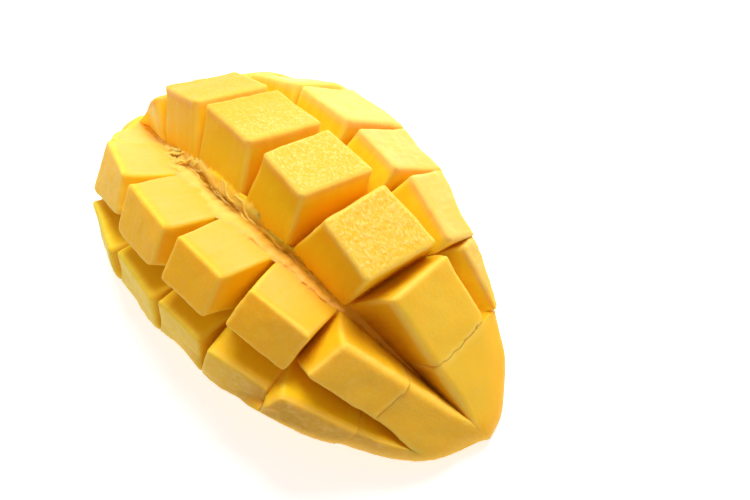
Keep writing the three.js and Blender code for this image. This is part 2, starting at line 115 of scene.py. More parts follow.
# The knife went in unevenly, so the corners of a cut face lie off their regular places. By side, row
# and column: how far along, outward and up, in the same order of corners.
STAYS = (0, 0, 0)
CORNER_MOVES = {
    (0, 0, 0): ((0, -1.6, -1.8), (0, -1.6, -1.8), (0, 0, -1.8), (0, 0, -1.8)),
    (0, 0, 1): ((-2.2, 0, 0), STAYS, (0, 0.5, 0), (-2.2, 0.5, 0)),
    (0, 0, 2): ((-1.7, 0, 0), STAYS, (0, 1.6, 0), (-2.5, 1, 0)),
    (0, 0, 3): ((-0.3, 0, 0), STAYS, (0, 2, 0), (-1, 0.8, 0)),
    (0, 0, 4): (STAYS, STAYS, (0.3, 2.4, 0), (-0.5, 0.5, 0)),
    (0, 0, 5): (STAYS, (1.8, 0, 0), (1.4, -0.8, 0), STAYS),
    (0, 0, 6): ((1.8, 0, 0), STAYS, STAYS, (1.8, 0, 0)),
    (0, 1, 0): ((0, 0, -1.8),) * 4,
    (0, 1, 1): ((-1.5, 0, 0), (0, 0, 0.8), (0, 0, 1.8), (-1.5, 0, -1.2)),
    (0, 1, 2): ((-1.5, 0, 1.8), (0.8, 0, 1.6), (0.8, 0, 1.8), (-1.5, 0, 2.6)),
    (0, 1, 3): ((0.5, 0, 1.6), (0.9, 0, 1.6), (0.9, 0, 1.6), (0.5, 0, 1.6)),
    (0, 1, 4): ((-0.3, 0, 1.3), (0.5, 0, 1.3), (0.5, 0, 1.3), (-0.3, 0, 1.3)),
    (0, 1, 5): ((0, 0, 0.6),) * 4,
    (1, 0, 0): ((0, -1, 0), (0, -1, 0), STAYS, STAYS),
    (1, 0, 1): ((-0.8, 0, 0), STAYS, (0.8, -1.2, -1.6), (-0.8, 2.2, 0)),
    (1, 0, 2): ((-0.3, 0, 0), STAYS, (0, 0.3, 0), (-0.3, 1.6, 0)),
    (1, 0, 3): ((-0.5, 0, 0), STAYS, (0, 0.3, 0), (-0.5, 1.2, 0)),
    (1, 0, 4): (STAYS, STAYS, (0, -0.6, 0), (0, -0.6, 0)),
    (1, 0, 5): (STAYS, (0.9, 0, 0), (0.9, 0, 0), (0.8, -0.4, 0)),
    (1, 0, 6): ((0.9, 0, 0), STAYS, STAYS, (0.9, 0, 0)),
}
LEVEL_CORNERS = (STAYS,) * 4
# Swollen or drawn-in stretches of each side's outline: where along, how long, how far out, and over
# which shares of the width they grow.
SWELL_ACROSS = (0.4, 0.9)
SWELLS = (
    ((12, 22, 1.6),),
    ((-3, 9, 1.3), (39, 9, -3)),
)
RIM_WIDTH = 0.9
END_RIM_DROP = 5
TIP_RIM_WIDTH = 8.5
END_RIM = (34, 64)
TIP_RIM = (66, 80)

# ---- colours, the paired ones for each side, or for the inner and outer row of each side ----
# Down the walls the colour turns from NEAR_TOP_FLESH through FLESH to DEEP_FLESH: partly the flesh's
# own colour, partly painted light under the top edge and painted shade deep in the gaps between cubes.
NEAR_TOP_FLESH = (0.97, 0.64, 0.035)
FLESH = (0.97, 0.59, 0.006)
# Painted highlight along the softened edges, and how far it shows on each side and row.
EDGE_HIGHLIGHT = (1, 0.78, 0.2)
EDGE_HIGHLIGHT_SHOWS = ((0.34, 0.22), (0.26, 0.1))
# Painted light: paler inner walls of the wide side at the far end, where the lamp falls.
FAR_WALL_LIGHT = (1, 0.8, 0.12)
DEEP_FLESH = (0.9, 0.44, 0.002)
# Painted shade in the valleys: the colour of the layer's flesh side between the cubes.
VALLEY_SHADE = (0.66, 0.31, 0.003)
RIM_FLESH = ((0.86, 0.42, 0.002), (0.92, 0.5, 0.025))
# For each row of cubes: the colour of its cut faces at three places along. The darker third colour
# is painted shade over the near end, and the pale tops of the wide side's outer row are partly
# painted light where the lamp falls.
SHADES_ALONG = (-30, 8, 42)
CUT_FACES = (
    (
        ((0.93, 0.38, 0.01), (0.93, 0.45, 0.028), (0.76, 0.47, 0.032)),
        ((0.98, 0.76, 0.16), (0.97, 0.5, 0.125), (0.8, 0.49, 0.1)),
    ),
    (
        ((1, 0.54, 0.012), (1, 0.48, 0.004), (0.78, 0.44, 0.03)),
        ((1, 0.7, 0.03), (1, 0.64, 0.03), (0.66, 0.36, 0.03)),
    ),
)
# Inner walls by side and row. The narrow side's inner row and the wide side's outer row are paler,
# partly painted light on walls that the lamp falls on or that lie in the gaps' shade.
INNER_WALLS = (
    ((0.94, 0.54, 0.002), (0.98, 0.72, 0.02)),
    ((0.95, 0.52, 0.1), (0.97, 0.6, 0.006)),
)
# Painted shade over the walls at the near end.
NEAR_END_SHADE = (0.8, 0.44, 0.008)
# Painted shade down the walls of the V-groove at the near end.
GROOVE_SHADE = (0.56, 0.23, 0.002)
# Over which depths, places along, levels (0 on top, 1 at the root) or distances the colours turn.
TOP_LEVELS = (0, 0.12)
NEAR_TOP_DEPTHS = (0.5, 6)
# SHADE_DEPTHS: where the walls darken, by side and row; partly painted shade in the gaps between cubes.
SHADE_DEPTHS = (((1, 11), (4, 17)), ((12, 26), (1, 10)))
INNER_WALL_DEPTHS = (8, 19)
FAR_WALL_LIGHT_ALONG = (33, 42)
NEAR_END_SHADE_ALONG = (30, 38)
NEAR_INNER_SHADE_ALONG = (20, 40)
GROOVE_SHADE_ALONG = (34, 42)
GROOVE_SHADE_LEVELS = (0.05, 0.55)
EDGE_HIGHLIGHT_REACH = (0.2, 1.4)
EDGE_HIGHLIGHT_LEVELS = (0.2, 0.8)
RIM_REACH = (0.25, 1.2)
RIM_SHOWS = 0.9
# Pale crests of the stipple: partly pale torn cells, partly painted highlights on the wet bumps.
CREST_COLOUR = (1, 0.72, 0.24)
CREST_SHOWS = 0.35
# Painted glints on the specks of the stippled cut faces.
GLINT_COLOUR = (1, 0.8, 0.4)
# Painted shade of the hairline crack where the last cross cut is shut: how far it shows on each side,
# near the cut and on the inner walls.
SHUT_CUT_SHADE = (0.55, 0.25, 0.01)
SHUT_SHADE_SHOWS = (0.35, 0.75)
SHUT_SHADE_REACH = (0.05, 0.35)
SHUT_SHADE_ON_WALLS = 0.15
PALE_FIBRE = (0.88, 0.6, 0.13)
# Brown of the fibres, and painted shade at the bottom of the crevice.
BROWN_FIBRE_AND_CREVICE_SHADE = (0.46, 0.18, 0.004)
PEEL_YELLOW = (0.86, 0.5, 0.1)
PEEL_GOLD = (0.9, 0.45, 0.035)
PEEL_PORE = (0.55, 0.26, 0.03)

# ---- torn fibres in the middle cut ----
FIBRE_ALONG = (-42, 36)
FIBRE_STEP = 0.4
FIBRE_LIP = 14.3
# The lip and the crevice: how high the lip rises at first and further on, where in the cut the
# crevice runs and how wide it is, both as shares of the cut.
LIP_RISE = (1.6, 0.5)
LIP_SINKS = (4, 16)
LIP_REACH = (0.22, 0.62)
CREVICE_MIDDLE = (0.46, 0.68)
CREVICE_DRIFTS = (2, 14)
CREVICE_CORE = 0.1
CREVICE_WIDTH = (0.34, 0.62)
CREVICE_WIDENS = (0, 14)
CREVICE_DEPTH = 1.6
CREVICE_OPEN = (31, 36)
CREVICE_BROKEN = (-26, -18)
FIBRE_ACROSS = (-0.12, 1.05)
FIBRE_ROWS = 20
FIBRE_LEVELS = 3
FIBRE_BOTTOM = 17.6
# Over what length the torn surface sinks in at its ends, and how far.
FIBRE_ENDS = (5, 1.5)
OVER_PEEL = 0.9
FIBRE_LEAST = 0.3
# Where the tan of the lips and the brown painted shade of the crevice begin, and where the tan fades.
TAN_BEGINS = (-42, -36)
CREVICE_SHADE_BEGINS = (-42, -34)
TAN_FADES = (0, 16)
TAN_REACH = (0.36, 0.62)
# The width that the open cut counts as for the grain.
OPEN_WIDTH = 4
STRAND_SIDES = 6
STRAND_STEPS = 12
CROSSING_EACH = 3
# How many strands there are of each kind, how long and how thick.
LYING_STRANDS = 18
LYING_LENGTH = (4, 8)
LYING_RADIUS = (0.2, 0.34)
LAPPING_STRANDS = 8
LAPPING_LENGTH = (3, 8)
LAPPING_RADIUS = (0.24, 0.4)
# Where the crossing ones start and how far along they reach.
CROSSING_STRANDS = ((-33.5, 7), (-30.5, 6), (-24, 5))
CROSSING_RADIUS = (0.25, 0.4)

# ---- how smoothly the layer under the cubes is bent ----
BLEND_ALONG = 8
BLEND_ACROSS = 6
RIM_BLEND = 5
EMBED = 1.2
LEAST_WIDTH = 0.1

# ---- cuts that close ----
# The middle cut and the cuts beside it end short of the near tip, and the last cross cut is shut.
GROOVE_END = (66, 78)
SIDE_CUT_END = (60, 72)
CLOSE_BESIDE = (5, 8)
CLOSED_OVERLAP = 0.1
CLOSED_WANDER = 0.4
CLOSED_WANDER_REACH = 4
# How far the cut face past the shut cut lies lower on each side.
CLOSED_STEP = (0.2, 0.5)
CLOSED_STEP_REACH = (1, 12)
# Swellings of the near tip: where across it, how wide, how far out.
TIP_SWELLS = ((-3, 6, 1), (10, 5, 1.4))
TIP_SWELL_ALONG = (68, 84)
# The dent where the middle cut runs out at the far end: where across it, how wide, how deep.
FAR_DENT = (2, 3.7, 3.4)
FAR_DENT_ALONG = (42, 55)
FAR_DENT_DEPTHS = (5, 13)

# Where the layer is pinched under the middle cut at the far end, and how often it is smoothed there.
PINCH_ACROSS = (4, 11)
PINCH_BEGINS = (24, 33)
PINCH_ENDS = (49, 54)
PINCH_ROUNDS = 25

# ---- lying on the floor ----
REST_PITCH = -3.9
REST_ROLL = -0.3
FLOOR_TRIM = 1.5
# How high up the soft flesh is flattened, and how much of its thickness is left on the floor.
SETTLED_HEIGHT = 4.5
SETTLED_SLOPE = 0.2

MIDDLE_COLUMN = 3
LAST_FRAME = 5
LAST_TURNING = 4
COLUMNS = len(CROSS_CUTS) + 1

# ---- how finely the surface is divided, in millimetres ----
TOP_STEP = 0.6
STIPPLED_TOP_STEP = 0.32
STIPPLED_COLUMNS = range(1, 5)
WALL_STEP = 1.1
LEAST_LEVELS = 4
LAYER_RINGS = 40
LAYER_SPOKES = 260
MOST_TRIANGLES = 196000
CRUMB_SIZE = 1e-3
WELD_SIZE = 1e-4
RIM_STEP = 0.8
# Where the lines over a rounded edge lie, as shares of its radius.
SOFT_EDGE = (0, 0.1, 0.25, 0.5, 1)
SOFT_RIM = (0, 0.05, 0.15, 0.35, 0.65, 1)
SOFT_TIP = (0, 0.01, 0.04, 0.09, 0.16, 0.25, 0.36, 0.49, 0.64, 0.81, 1)
SHARP = (EDGE_RADIUS, SOFT_EDGE)
END_LINES = 26


# ---- small helpers ----
def mix(a, b, share):
    """From a (share 0) to b (share 1), which are numbers, colours or rows of them."""
    start = np.asarray(a)
    return start + (np.asarray(b) - start) * share


def smooth(value, low, high):
    share = np.clip((value - low) / (high - low), 0, 1)
    return share * share * (3 - 2 * share)


def turned(vector, axis, degrees):
    """The vector, or rows of vectors, turned about an axis of length one."""
    angle = np.radians(degrees)
    across = np.cross(axis, vector)
    along = np.multiply.outer(np.asarray(vector) @ axis, axis)
    return vector * np.cos(angle) + across * np.sin(angle) + along * (1 - np.cos(angle))


def noise(points, seed):
    """Smooth noise from -1 to 1, with one bump or hollow for about every unit along each axis."""
    base = np.floor(points).astype(np.int64)
    part = points - base
    part = part * part * (3 - 2 * part)
    total = np.zeros(len(points))
    for corner in itertools.product((0, 1), repeat=3):
        cell = base + corner
        mixed = cell[:, 0] * 73856093 ^ cell[:, 1] * 19349663 ^ cell[:, 2] * 83492791 ^ seed * 26544357
        mixed = ((mixed ^ mixed >> 13) * 1274126177) & 0x7FFFFFFF
        value = ((mixed ^ mixed >> 15) & 0xFFFF) / 32767.5 - 1
        total += value * np.prod(np.where(corner, part, 1 - part), axis=1)
    return total


def ridged(points, seed):
    return 1 - 2 * np.abs(noise(points, seed))


def row(*parts):
    """Places for the noise from values along its axes."""
    return np.stack(np.broadcast_arrays(*parts, *[0.0] * (3 - len(parts))), axis=-1)


# ---- the flat half ----
def outline(x, side):
    """Length and squareness of the outline on that end of the half."""
    blunt = smooth(x, *side["blunt_at"])
    far = np.asarray(x) < 0
    return np.where(far, FAR_LENGTH, NEAR_LENGTH), np.where(far, 2, mix(*side["power"], blunt))


def spread(x, y, side):
    """0 over the middle of the half and 1 on its outline."""
    length, power = outline(x, side)
    return ((np.abs(x) / length) ** power + (np.abs(y) / side["half_width"]) ** power) ** (1 / power)


def depth_at(x, y, side):
    return FLESH_DEPTH * np.sqrt(np.maximum(0, 1 - spread(x, y, side) ** 2))


def spread_at(depth):
    return np.sqrt(np.maximum(0, 1 - (depth / FLESH_DEPTH) ** 2))


def remainder(whole, share, power):
    """What is left for one direction of the outline when the other has used up a share of it."""
    return np.maximum(0, whole ** power - share ** power) ** (1 / power)


def width_at(x, whole, side):
    length, power = outline(x, side)
    return side["half_width"] * remainder(whole, np.abs(x) / length, power)


def reach_at(end, y, depth, side):
    length, power = outline(end, side)
    return np.sign(end) * length * remainder(spread_at(depth), np.abs(y) / side["half_width"], power)


def rim_width(x, side):
    """How far in from its edge the top starts to round over."""
    alongside = mix(RIM_WIDTH, side["end_rim"], smooth(x, *END_RIM))
    return mix(alongside, TIP_RIM_WIDTH, smooth(x, *TIP_RIM))


def rim_drop(x):
    return mix(RIM_WIDTH, END_RIM_DROP, smooth(x, *END_RIM))


def rim_distance(x, y, side):
    """Distance in from the edge where the rounded rim meets the peel."""
    step = 0.01
    slope_x = (spread(x + step, y, side) - spread(x - step, y, side)) / (2 * step)
    slope_y = (spread(x, y + step, side) - spread(x, y - step, side)) / (2 * step)
    slope = np.maximum(1e-6, np.hypot(slope_x, slope_y))
    return (spread_at(rim_drop(x)) - spread(x, y, side)) / slope


def round_over(distance, width, drop):
    left = np.clip(1 - distance / width, 0, 1)
    return drop * (1 - np.sqrt(1 - left * left))


# ---- where each cube goes ----
def spine():
    """The line along the bottom of the middle cut, one straight step for each column."""
    middles = [CROSS_CUTS[0] - FAR_COLUMN_HALF]
    middles += [(CROSS_CUTS[cut] + CROSS_CUTS[cut + 1]) / 2 for cut in range(LAST_FRAME)]
    steps = []
    for column, middle in enumerate(middles):
        pitch = np.radians(FIRST_PITCH - sum(CUT_BENDS[:column]))
        steps.append({
            "middle": middle,
            "along": np.array((np.cos(pitch), 0, np.sin(pitch))),
            "up": np.array((-np.sin(pitch), 0, np.cos(pitch))),
        })
    steps[MIDDLE_COLUMN]["foot"] = np.zeros(3)

    def depth(x):
        return depth_at(x, 0, SIDES[0])

    def walk(start, end, cut):
        end["foot"] = (
            start["foot"]
            + start["along"] * (cut - start["middle"])
            + start["up"] * (depth(start["middle"]) - depth(cut)) * GROOVE_FOLLOW
            + end["along"] * (end["middle"] - cut)
            + end["up"] * (depth(cut) - depth(end["middle"])) * GROOVE_FOLLOW
        )

    for column in range(MIDDLE_COLUMN, LAST_FRAME):
        walk(steps[column], steps[column + 1], CROSS_CUTS[column])
    for column in range(MIDDLE_COLUMN, 0, -1):
        walk(steps[column], steps[column - 1], CROSS_CUTS[column - 1])
    return steps


# The place along and outward where a cube is measured from, where that corner goes, and the cube's
# three directions.
CubeFrame = namedtuple("CubeFrame", "middle start corner along across up")


def cube_frames(side, step, column):
    """The frames of the inner and outer cube of one side and column."""
    offset = min(column, LAST_TURNING) - MIDDLE_COLUMN
    sign = side["sign"]
    lean = -sign * side["lean"][column]
    up = turned(step["up"], step["along"], lean)
    inner_turn = side["turn"][0] + side["turn_step"][0] * offset
    skew = side["last_skew"] if column == LAST_FRAME else (0, 0)
    along = turned(step["along"], up, inner_turn + skew[0])
    sideways = turned(np.array((0.0, sign, 0.0)), step["along"], lean)
    across = turned(sideways, up, inner_turn + skew[1])
    corner = (
        step["foot"]
        + np.array((0, sign * GROOVE_WIDTH / 2, 0))
        + step["along"] * side["shift"][0]
        + up * depth_at(step["middle"], 0, side)
    )
    outer_depth = depth_at(step["middle"], side["inner_width"], side)
    fold = -sign * side["fold"][column]
    outer_up = turned(up, along, fold)
    outer_turn = side["turn"][1] + side["turn_step"][1] * offset
    outer_corner = (
        corner + across * side["inner_width"] - up * outer_depth
        + along * side["shift"][1] + outer_up * outer_depth
    )
    outer_along = turned(along, outer_up, outer_turn)
    outer_across = turned(turned(across, along, fold), outer_up, outer_turn)
    inner = CubeFrame(step["middle"], 0, corner, along, across, up)
    start = side["inner_width"]
    return inner, CubeFrame(step["middle"], start, outer_corner, outer_along, outer_across, outer_up)


FRAMES = [[cube_frames(side, step, column) for column, step in enumerate(spine())] for side in SIDES]


def rigid(cube_frame, x, across, depth):
    """Where one cube carries points of the flat half, `across` being their distance from the cut."""
    return (
        cube_frame.corner
        + np.multiply.outer(x - cube_frame.middle, cube_frame.along)
        + np.multiply.outer(across - cube_frame.start, cube_frame.across)
        - np.multiply.outer(depth, cube_frame.up)
    )


def passed(position, cut, blend):
    return smooth(position, cut - blend, cut + blend)


def hump(value, middle, width):
    return np.exp(-((value - middle) / width) ** 2)


def drawn(x, y, depth):
    """Swollen at the near tip and unevenly along the sides, and dented at the far end."""
    swollen = sum(height * hump(y, middle, width) for middle, width, height in TIP_SWELLS)
    tip = swollen * smooth(x, *TIP_SWELL_ALONG)
    for side, swells in zip(SIDES, SWELLS):
        on_side = smooth(side["sign"] * y / side["half_width"], *SWELL_ACROSS)
        for middle, length, height in swells:
            y = y + side["sign"] * height * hump(x, middle, length) * on_side
    middle, width, height = FAR_DENT
    dent = height * smooth(-x, *FAR_DENT_ALONG) * hump(y, middle, width)
    return x + tip, y, depth + dent * (1 - smooth(depth, *FAR_DENT_DEPTHS))


def bent(x, y, depth):
    """The places every nearby cube would carry points to, averaged so that the result is smooth."""
    x, y, depth = drawn(x, y, depth)
    place = np.zeros(x.shape + (3,))
    side_share = passed(y, 0, BLEND_ACROSS)
    for column in range(LAST_FRAME + 1):
        begun = 1 if column == 0 else passed(x, CROSS_CUTS[column - 1], BLEND_ALONG)
        ended = 0 if column == LAST_FRAME else passed(x, CROSS_CUTS[column], BLEND_ALONG)
        for side, frames in zip(SIDES, FRAMES):
            share = (side_share if side["sign"] > 0 else 1 - side_share) * begun * (1 - ended)
            across = side["sign"] * y
            outer_share = passed(across, side["inner_width"], BLEND_ACROSS)
            inner, outer = frames[column]
            place += (share * (1 - outer_share))[:, None] * rigid(inner, x, across, depth)
            place += (share * outer_share)[:, None] * rigid(outer, x, across, depth)
    return place


# ---- grids ----
def facets_of(sheet, flip):
    corners = (sheet[:-1, :-1], sheet[1:, :-1], sheet[1:, 1:], sheet[:-1, 1:])
    facets = np.stack([corner.ravel() for corner in corners], axis=1)
    return facets[:, ::-1] if flip else facets


def box_surface(columns, rows, levels, flip):
    """Grid places on the surface of a box, and the corners of its facets."""
    on_surface = np.zeros((columns + 1, rows + 1, levels + 1), bool)
    on_surface[[0, -1]] = True
    on_surface[:, [0, -1]] = True
    on_surface[:, :, [0, -1]] = True
    number = np.full(on_surface.shape, -1)
    number[on_surface] = np.arange(on_surface.sum())
    facets = np.concatenate([
        facets_of(number[:, :, 0], flip),
        facets_of(number[:, :, -1], not flip),
        facets_of(number[:, 0], not flip),
        facets_of(number[:, -1], flip),
        facets_of(number[0], flip),
        facets_of(number[-1], not flip),
    ])
    return np.argwhere(on_surface), facets


def normals(points, facets):
    a, b, c, d = (points[facets[:, corner]] for corner in range(4))
    facing = np.cross(c - a, d - b)
    total = np.zeros_like(points)
    for corner in range(4):
        np.add.at(total, facets[:, corner], facing)
    return total / np.maximum(1e-12, np.linalg.norm(total, axis=1))[:, None]


def divided(length, step, first, second):
    """How many lines lie on the first edge, between the edges and on the second edge."""
    count = max(2, round((length - first[0] - second[0]) / step))
    return len(first[1]), count - 1, len(second[1])


def line_places(length, line, counts, first, second):
    """Distances from the first wall of numbered lines. An edge is its radius and shares of it."""
    first_count, middle_count, second_count = counts
    room = np.minimum(1, 0.98 * length / (first[0] + second[0]))
    first_share = np.array(first[1])[np.minimum(line, first_count - 1)]
    second_line = np.clip(sum(counts) - 1 - line, 0, second_count - 1)
    second_share = np.array(second[1])[second_line]
    start = first[0] * room
    stop = length - second[0] * room
    middle = mix(start, stop, (line - first_count + 1) / (middle_count + 1))
    places = np.where(line < first_count, first_share * first[0] * room, middle)
    near_second = length - second_share * second[0] * room
    return np.where(line >= first_count + middle_count, near_second, places)


# ---- one cube ----
def end_lines(length, near_end):
    """Distances along an end cube, closing up towards the tip of the half."""
    soft = [share * EDGE_RADIUS for share in SOFT_EDGE]
    turn = np.arange(1, END_LINES + 1) / END_LINES * np.pi / 2
    places = np.concatenate([soft, EDGE_RADIUS + (length - EDGE_RADIUS) * np.sin(turn)])
    return places if near_end else (length - places)[::-1]


def corner_rounded(along, across, radius):
    """Distances from two walls that meet, moved so that a square corner becomes a round one."""
    u = np.clip(1 - along / radius, 0, 1)
    v = np.clip(1 - across / radius, 0, 1)
    return radius * u * (1 - np.sqrt(1 - v * v / 2)), radius * v * (1 - np.sqrt(1 - u * u / 2))


class Cube:
    """One cube of the flat half and the walls it lies between."""

    def __init__(self, side_index, ring, column):
        self.key = side_index, ring, column
        self.side = SIDES[side_index]
        self.inner = KERF / 2 if ring == 0 else self.side["inner_width"] + KERF / 2
        self.to_rim = ring == 1 or column >= self.side["outer_columns"]
        self.outer_cut = np.inf if self.to_rim else self.side["inner_width"] - KERF / 2
        self.far_end = column == 0
        self.near_end = column == COLUMNS - 1
        self.before_shut_cut = column == COLUMNS - 2


def rim_depth(cube, x, level):
    top = rim_drop(x)
    bottom = np.maximum(top, ROOT_SHARE * depth_at(x, cube.inner, cube.side))
    return mix(top, bottom, level)


def limits(cube, level):
    """Where its far and near walls stand, or where it runs out at an end of the half."""
    column = cube.key[2]
    walls = []
    for end, cut, way in ((-FAR_LENGTH, column - 1, 1), (NEAR_LENGTH, column, -1)):
        if 0 <= cut < len(CROSS_CUTS):
            gap = -CLOSED_OVERLAP if cut == len(CROSS_CUTS) - 1 else KERF / 2
            walls.append(CROSS_CUTS[cut] + way * gap)
        else:
            reach = reach_at(end, cube.inner, rim_depth(cube, end, level), cube.side)
            walls.append(reach + way * TUCK)
    return walls


def outer_at(cube, x, level):
    width = width_at(x, spread_at(rim_depth(cube, x, level)), cube.side)
    return np.minimum(cube.outer_cut, width - TUCK)


def fits(cube):
    """Whether the half is long and wide enough here for a cube."""
    far, near = limits(cube, 0)
    width = outer_at(cube, (far + near) / 2, 0) - cube.inner
    return near - far >= LEAST_CUBE[0] and width >= LEAST_CUBE[1]


def lay_grid(cube):
    """Give the cube points all over its surface: places, and distances from each wall."""
    side_index, ring, column = cube.key
    fine = (side_index, ring) == (0, 0) and column in STIPPLED_COLUMNS
    step = STIPPLED_TOP_STEP if fine else TOP_STEP
    far, near = limits(cube, 0)
    length = near - far
    outside = SOFT_TIP if column > MIDDLE_COLUMN else SOFT_RIM
    if cube.far_end or cube.near_end:
        lengthwise = end_lines(length, cube.near_end)
    else:
        counts = divided(length, step, SHARP, SHARP)
        lengthwise = line_places(length, np.arange(sum(counts)), counts, SHARP, SHARP)
        outside = SOFT_EDGE if ring == 0 else outside
    widest = float(np.max(outer_at(cube, far + lengthwise, 0))) - cube.inner
    rows = divided(widest, step, SHARP, (EDGE_RADIUS, outside))
    deepest = float(depth_at((far + near) / 2, cube.inner, cube.side))
    levels = max(LEAST_LEVELS, round(deepest / WALL_STEP))
    flip = cube.side["sign"] < 0
    places, cube.facets = box_surface(len(lengthwise) - 1, sum(rows) - 1, levels, flip)

    cube.level = places[:, 2] / levels
    cube.share = lengthwise[places[:, 0]] / length
    far, near = limits(cube, cube.level)
    cube.straight = far + cube.share * (near - far)
    cube.width = np.maximum(LEAST_WIDTH, outer_at(cube, cube.straight, cube.level) - cube.inner)
    on_rim = cube.width + cube.inner < cube.outer_cut - 1e-6
    rounded = np.where(on_rim, rim_width(cube.straight, cube.side), EDGE_RADIUS)
    across = line_places(cube.width, places[:, 1], rows, SHARP, (rounded, outside))
    cube.out = cube.inner + np.minimum(cube.width, across)
    cube.from_inner = cube.out - cube.inner
    cube.from_outer = cube.outer_cut - cube.out
    cube.from_far = cube.straight - far
    cube.from_near = near - cube.straight
    cube.to_shut_cut = np.abs(cube.straight - CROSS_CUTS[-1])
    cube.closing = smooth(cube.straight, *(GROOVE_END if ring == 0 else SIDE_CUT_END))


def cut_walls(cube):
    """The distance from each cut wall, and the radius of the edge over it."""
    side_index, ring, column = cube.key
    radius = SOFT_RADIUS[side_index]
    inner_radius = GROOVE_EDGE_RADIUS if ring == 0 and column >= GROOVE_EDGE_FROM else radius
    walls = [(cube.from_inner, inner_radius * (1 - cube.closing) + NO_RADIUS)]
    if not cube.far_end:
        walls.append((cube.from_far, CLOSED_RADIUS if cube.near_end else radius))
    if not cube.near_end:
        walls.append((cube.from_near, CLOSED_RADIUS if cube.before_shut_cut else radius))
    if not cube.to_rim:
        side_closing = smooth(cube.straight, *SIDE_CUT_END)
        walls.append((cube.from_outer, radius * (1 - side_closing) + NO_RADIUS))
    return walls


def rounded_corners(cube):
    """How far along and outward the points move as the corners seen from above are rounded."""
    radii = TORN_CORNERS.get(cube.key, CORNER_RADIUS)
    moves = np.zeros((2, len(cube.out)))
    for corner, (along, beside, forward, outward) in enumerate((
        (cube.from_far, cube.from_inner, 1, 1),
        (cube.from_near, cube.from_inner, -1, 1),
        (cube.from_near, cube.from_outer, -1, -1),
        (cube.from_far, cube.from_outer, 1, -1),
    )):
        missing = (cube.far_end if forward > 0 else cube.near_end) or (outward < 0 and cube.to_rim)
        shut = cube.near_end if forward > 0 else cube.before_shut_cut
        if missing or (shut and radii is CORNER_RADIUS):
            continue
        inward = corner_rounded(along, beside, mix(radii[corner], ROOT_CORNER, cube.level))
        moves[0] += forward * inward[0]
        moves[1] += outward * inward[1]
    return moves


def knife_moves(cube):
    """How far along, outward and up the uneven knife moved the points, less towards the root."""
    corners = np.array(CORNER_MOVES.get(cube.key, LEVEL_CORNERS))
    far_inner, near_inner, near_outer, far_outer = corners
    along = cube.share[:, None]
    across = (cube.from_inner / cube.width)[:, None]
    moves = mix(mix(far_inner, near_inner, along), mix(far_outer, near_outer, along), across)
    return moves * (1 - cube.level)[:, None]


def flat_places(cube, knife):
    """Places along and outward after all the moves, with the cuts closed where they run out."""
    side_index, _, column = cube.key
    forward, outward = rounded_corners(cube)
    if cube.before_shut_cut or cube.near_end:
        wander = noise(row(cube.out / 2.2, side_index), 81)
        wander = wander + 0.5 * noise(row(cube.out / 0.9, side_index), 82)
        near_cut = 1 - smooth(cube.to_shut_cut, 0, CLOSED_WANDER_REACH)
        forward += CLOSED_WANDER * wander * near_cut
    forward += knife[:, 0]
    outward += knife[:, 1]
    slants = (0, *cube.side["slants"], 0)
    x = cube.straight + cube.out * mix(slants[column], slants[column + 1], cube.share) + forward
    closed = KERF * cube.closing * np.clip(1 - cube.from_inner / 2, 0, 1)
    return x, cube.out + outward - closed


def surface(cube):
    """Points and facets of the cube, with what its relief and colours depend on."""
    lay_grid(cube)
    side = cube.side
    side_index, ring, column = cube.key
    level = cube.level
    knife = knife_moves(cube)
    x, out = flat_places(cube, knife)
    y = side["sign"] * out
    rim = rim_distance(x, y, side) - TUCK
    walls = cut_walls(cube)
    nearest = np.sort([np.maximum(0, distance) for distance, _ in walls], axis=0)
    edge = nearest[0]
    to_side_edge = np.minimum(nearest[1], level * depth_at(x, y, side))

    top = round_over(rim, rim_width(x, side), rim_drop(x))
    for distance, radius in walls:
        top = np.maximum(top, round_over(distance, radius, radius))
    if cube.near_end:
        top = top + CLOSED_STEP[side_index] * (1 - smooth(cube.to_shut_cut, *CLOSED_STEP_REACH))
    top = top - knife[:, 2]
    bottom = np.maximum(top + LEAST_WIDTH, depth_at(x, y, side) - EMBED)
    depth = mix(top, bottom, level)

    closed = mix(smooth(x, *GROOVE_END), smooth(x, *SIDE_CUT_END), smooth(out, *CLOSE_BESIDE))
    on_layer = np.maximum.reduce([level ** 2, smooth(RIM_BLEND - rim, 0, RIM_BLEND), closed])
    drawn_x, drawn_y, drawn_depth = drawn(x, y, depth)
    cube_frame = FRAMES[side_index][min(column, LAST_FRAME)][ring]
    carried = rigid(cube_frame, drawn_x, side["sign"] * drawn_y, drawn_depth)
    others = [cube.from_outer, np.abs(cube.from_far), np.abs(cube.from_near)]
    inner_wall = cube.from_inner < np.minimum.reduce(others)
    shows = np.where(inner_wall & (level > 0), SHUT_SHADE_ON_WALLS, 1)
    shows = shows * (cube.before_shut_cut or cube.near_end)
    return {
        "points": mix(carried, bent(x, y, depth), on_layer[:, None]),
        "facets": cube.facets,
        "flat": np.stack([x, y, depth], axis=1),
        "edge": np.where(level > 0, to_side_edge, edge),
        "on_top": (1 - smooth(level, 0, 0.1)) * smooth(edge, 0.2, 0.9),
        "level": level,
        # how far the painted shade of the shut cut shows
        "shut": SHUT_SHADE_SHOWS[side_index] * (1 - smooth(cube.to_shut_cut, *SHUT_SHADE_REACH)) * shows,
        "inner_wall": inner_wall,
        "on_rim": 1 - smooth(rim / rim_width(x, side), *RIM_REACH),
    }


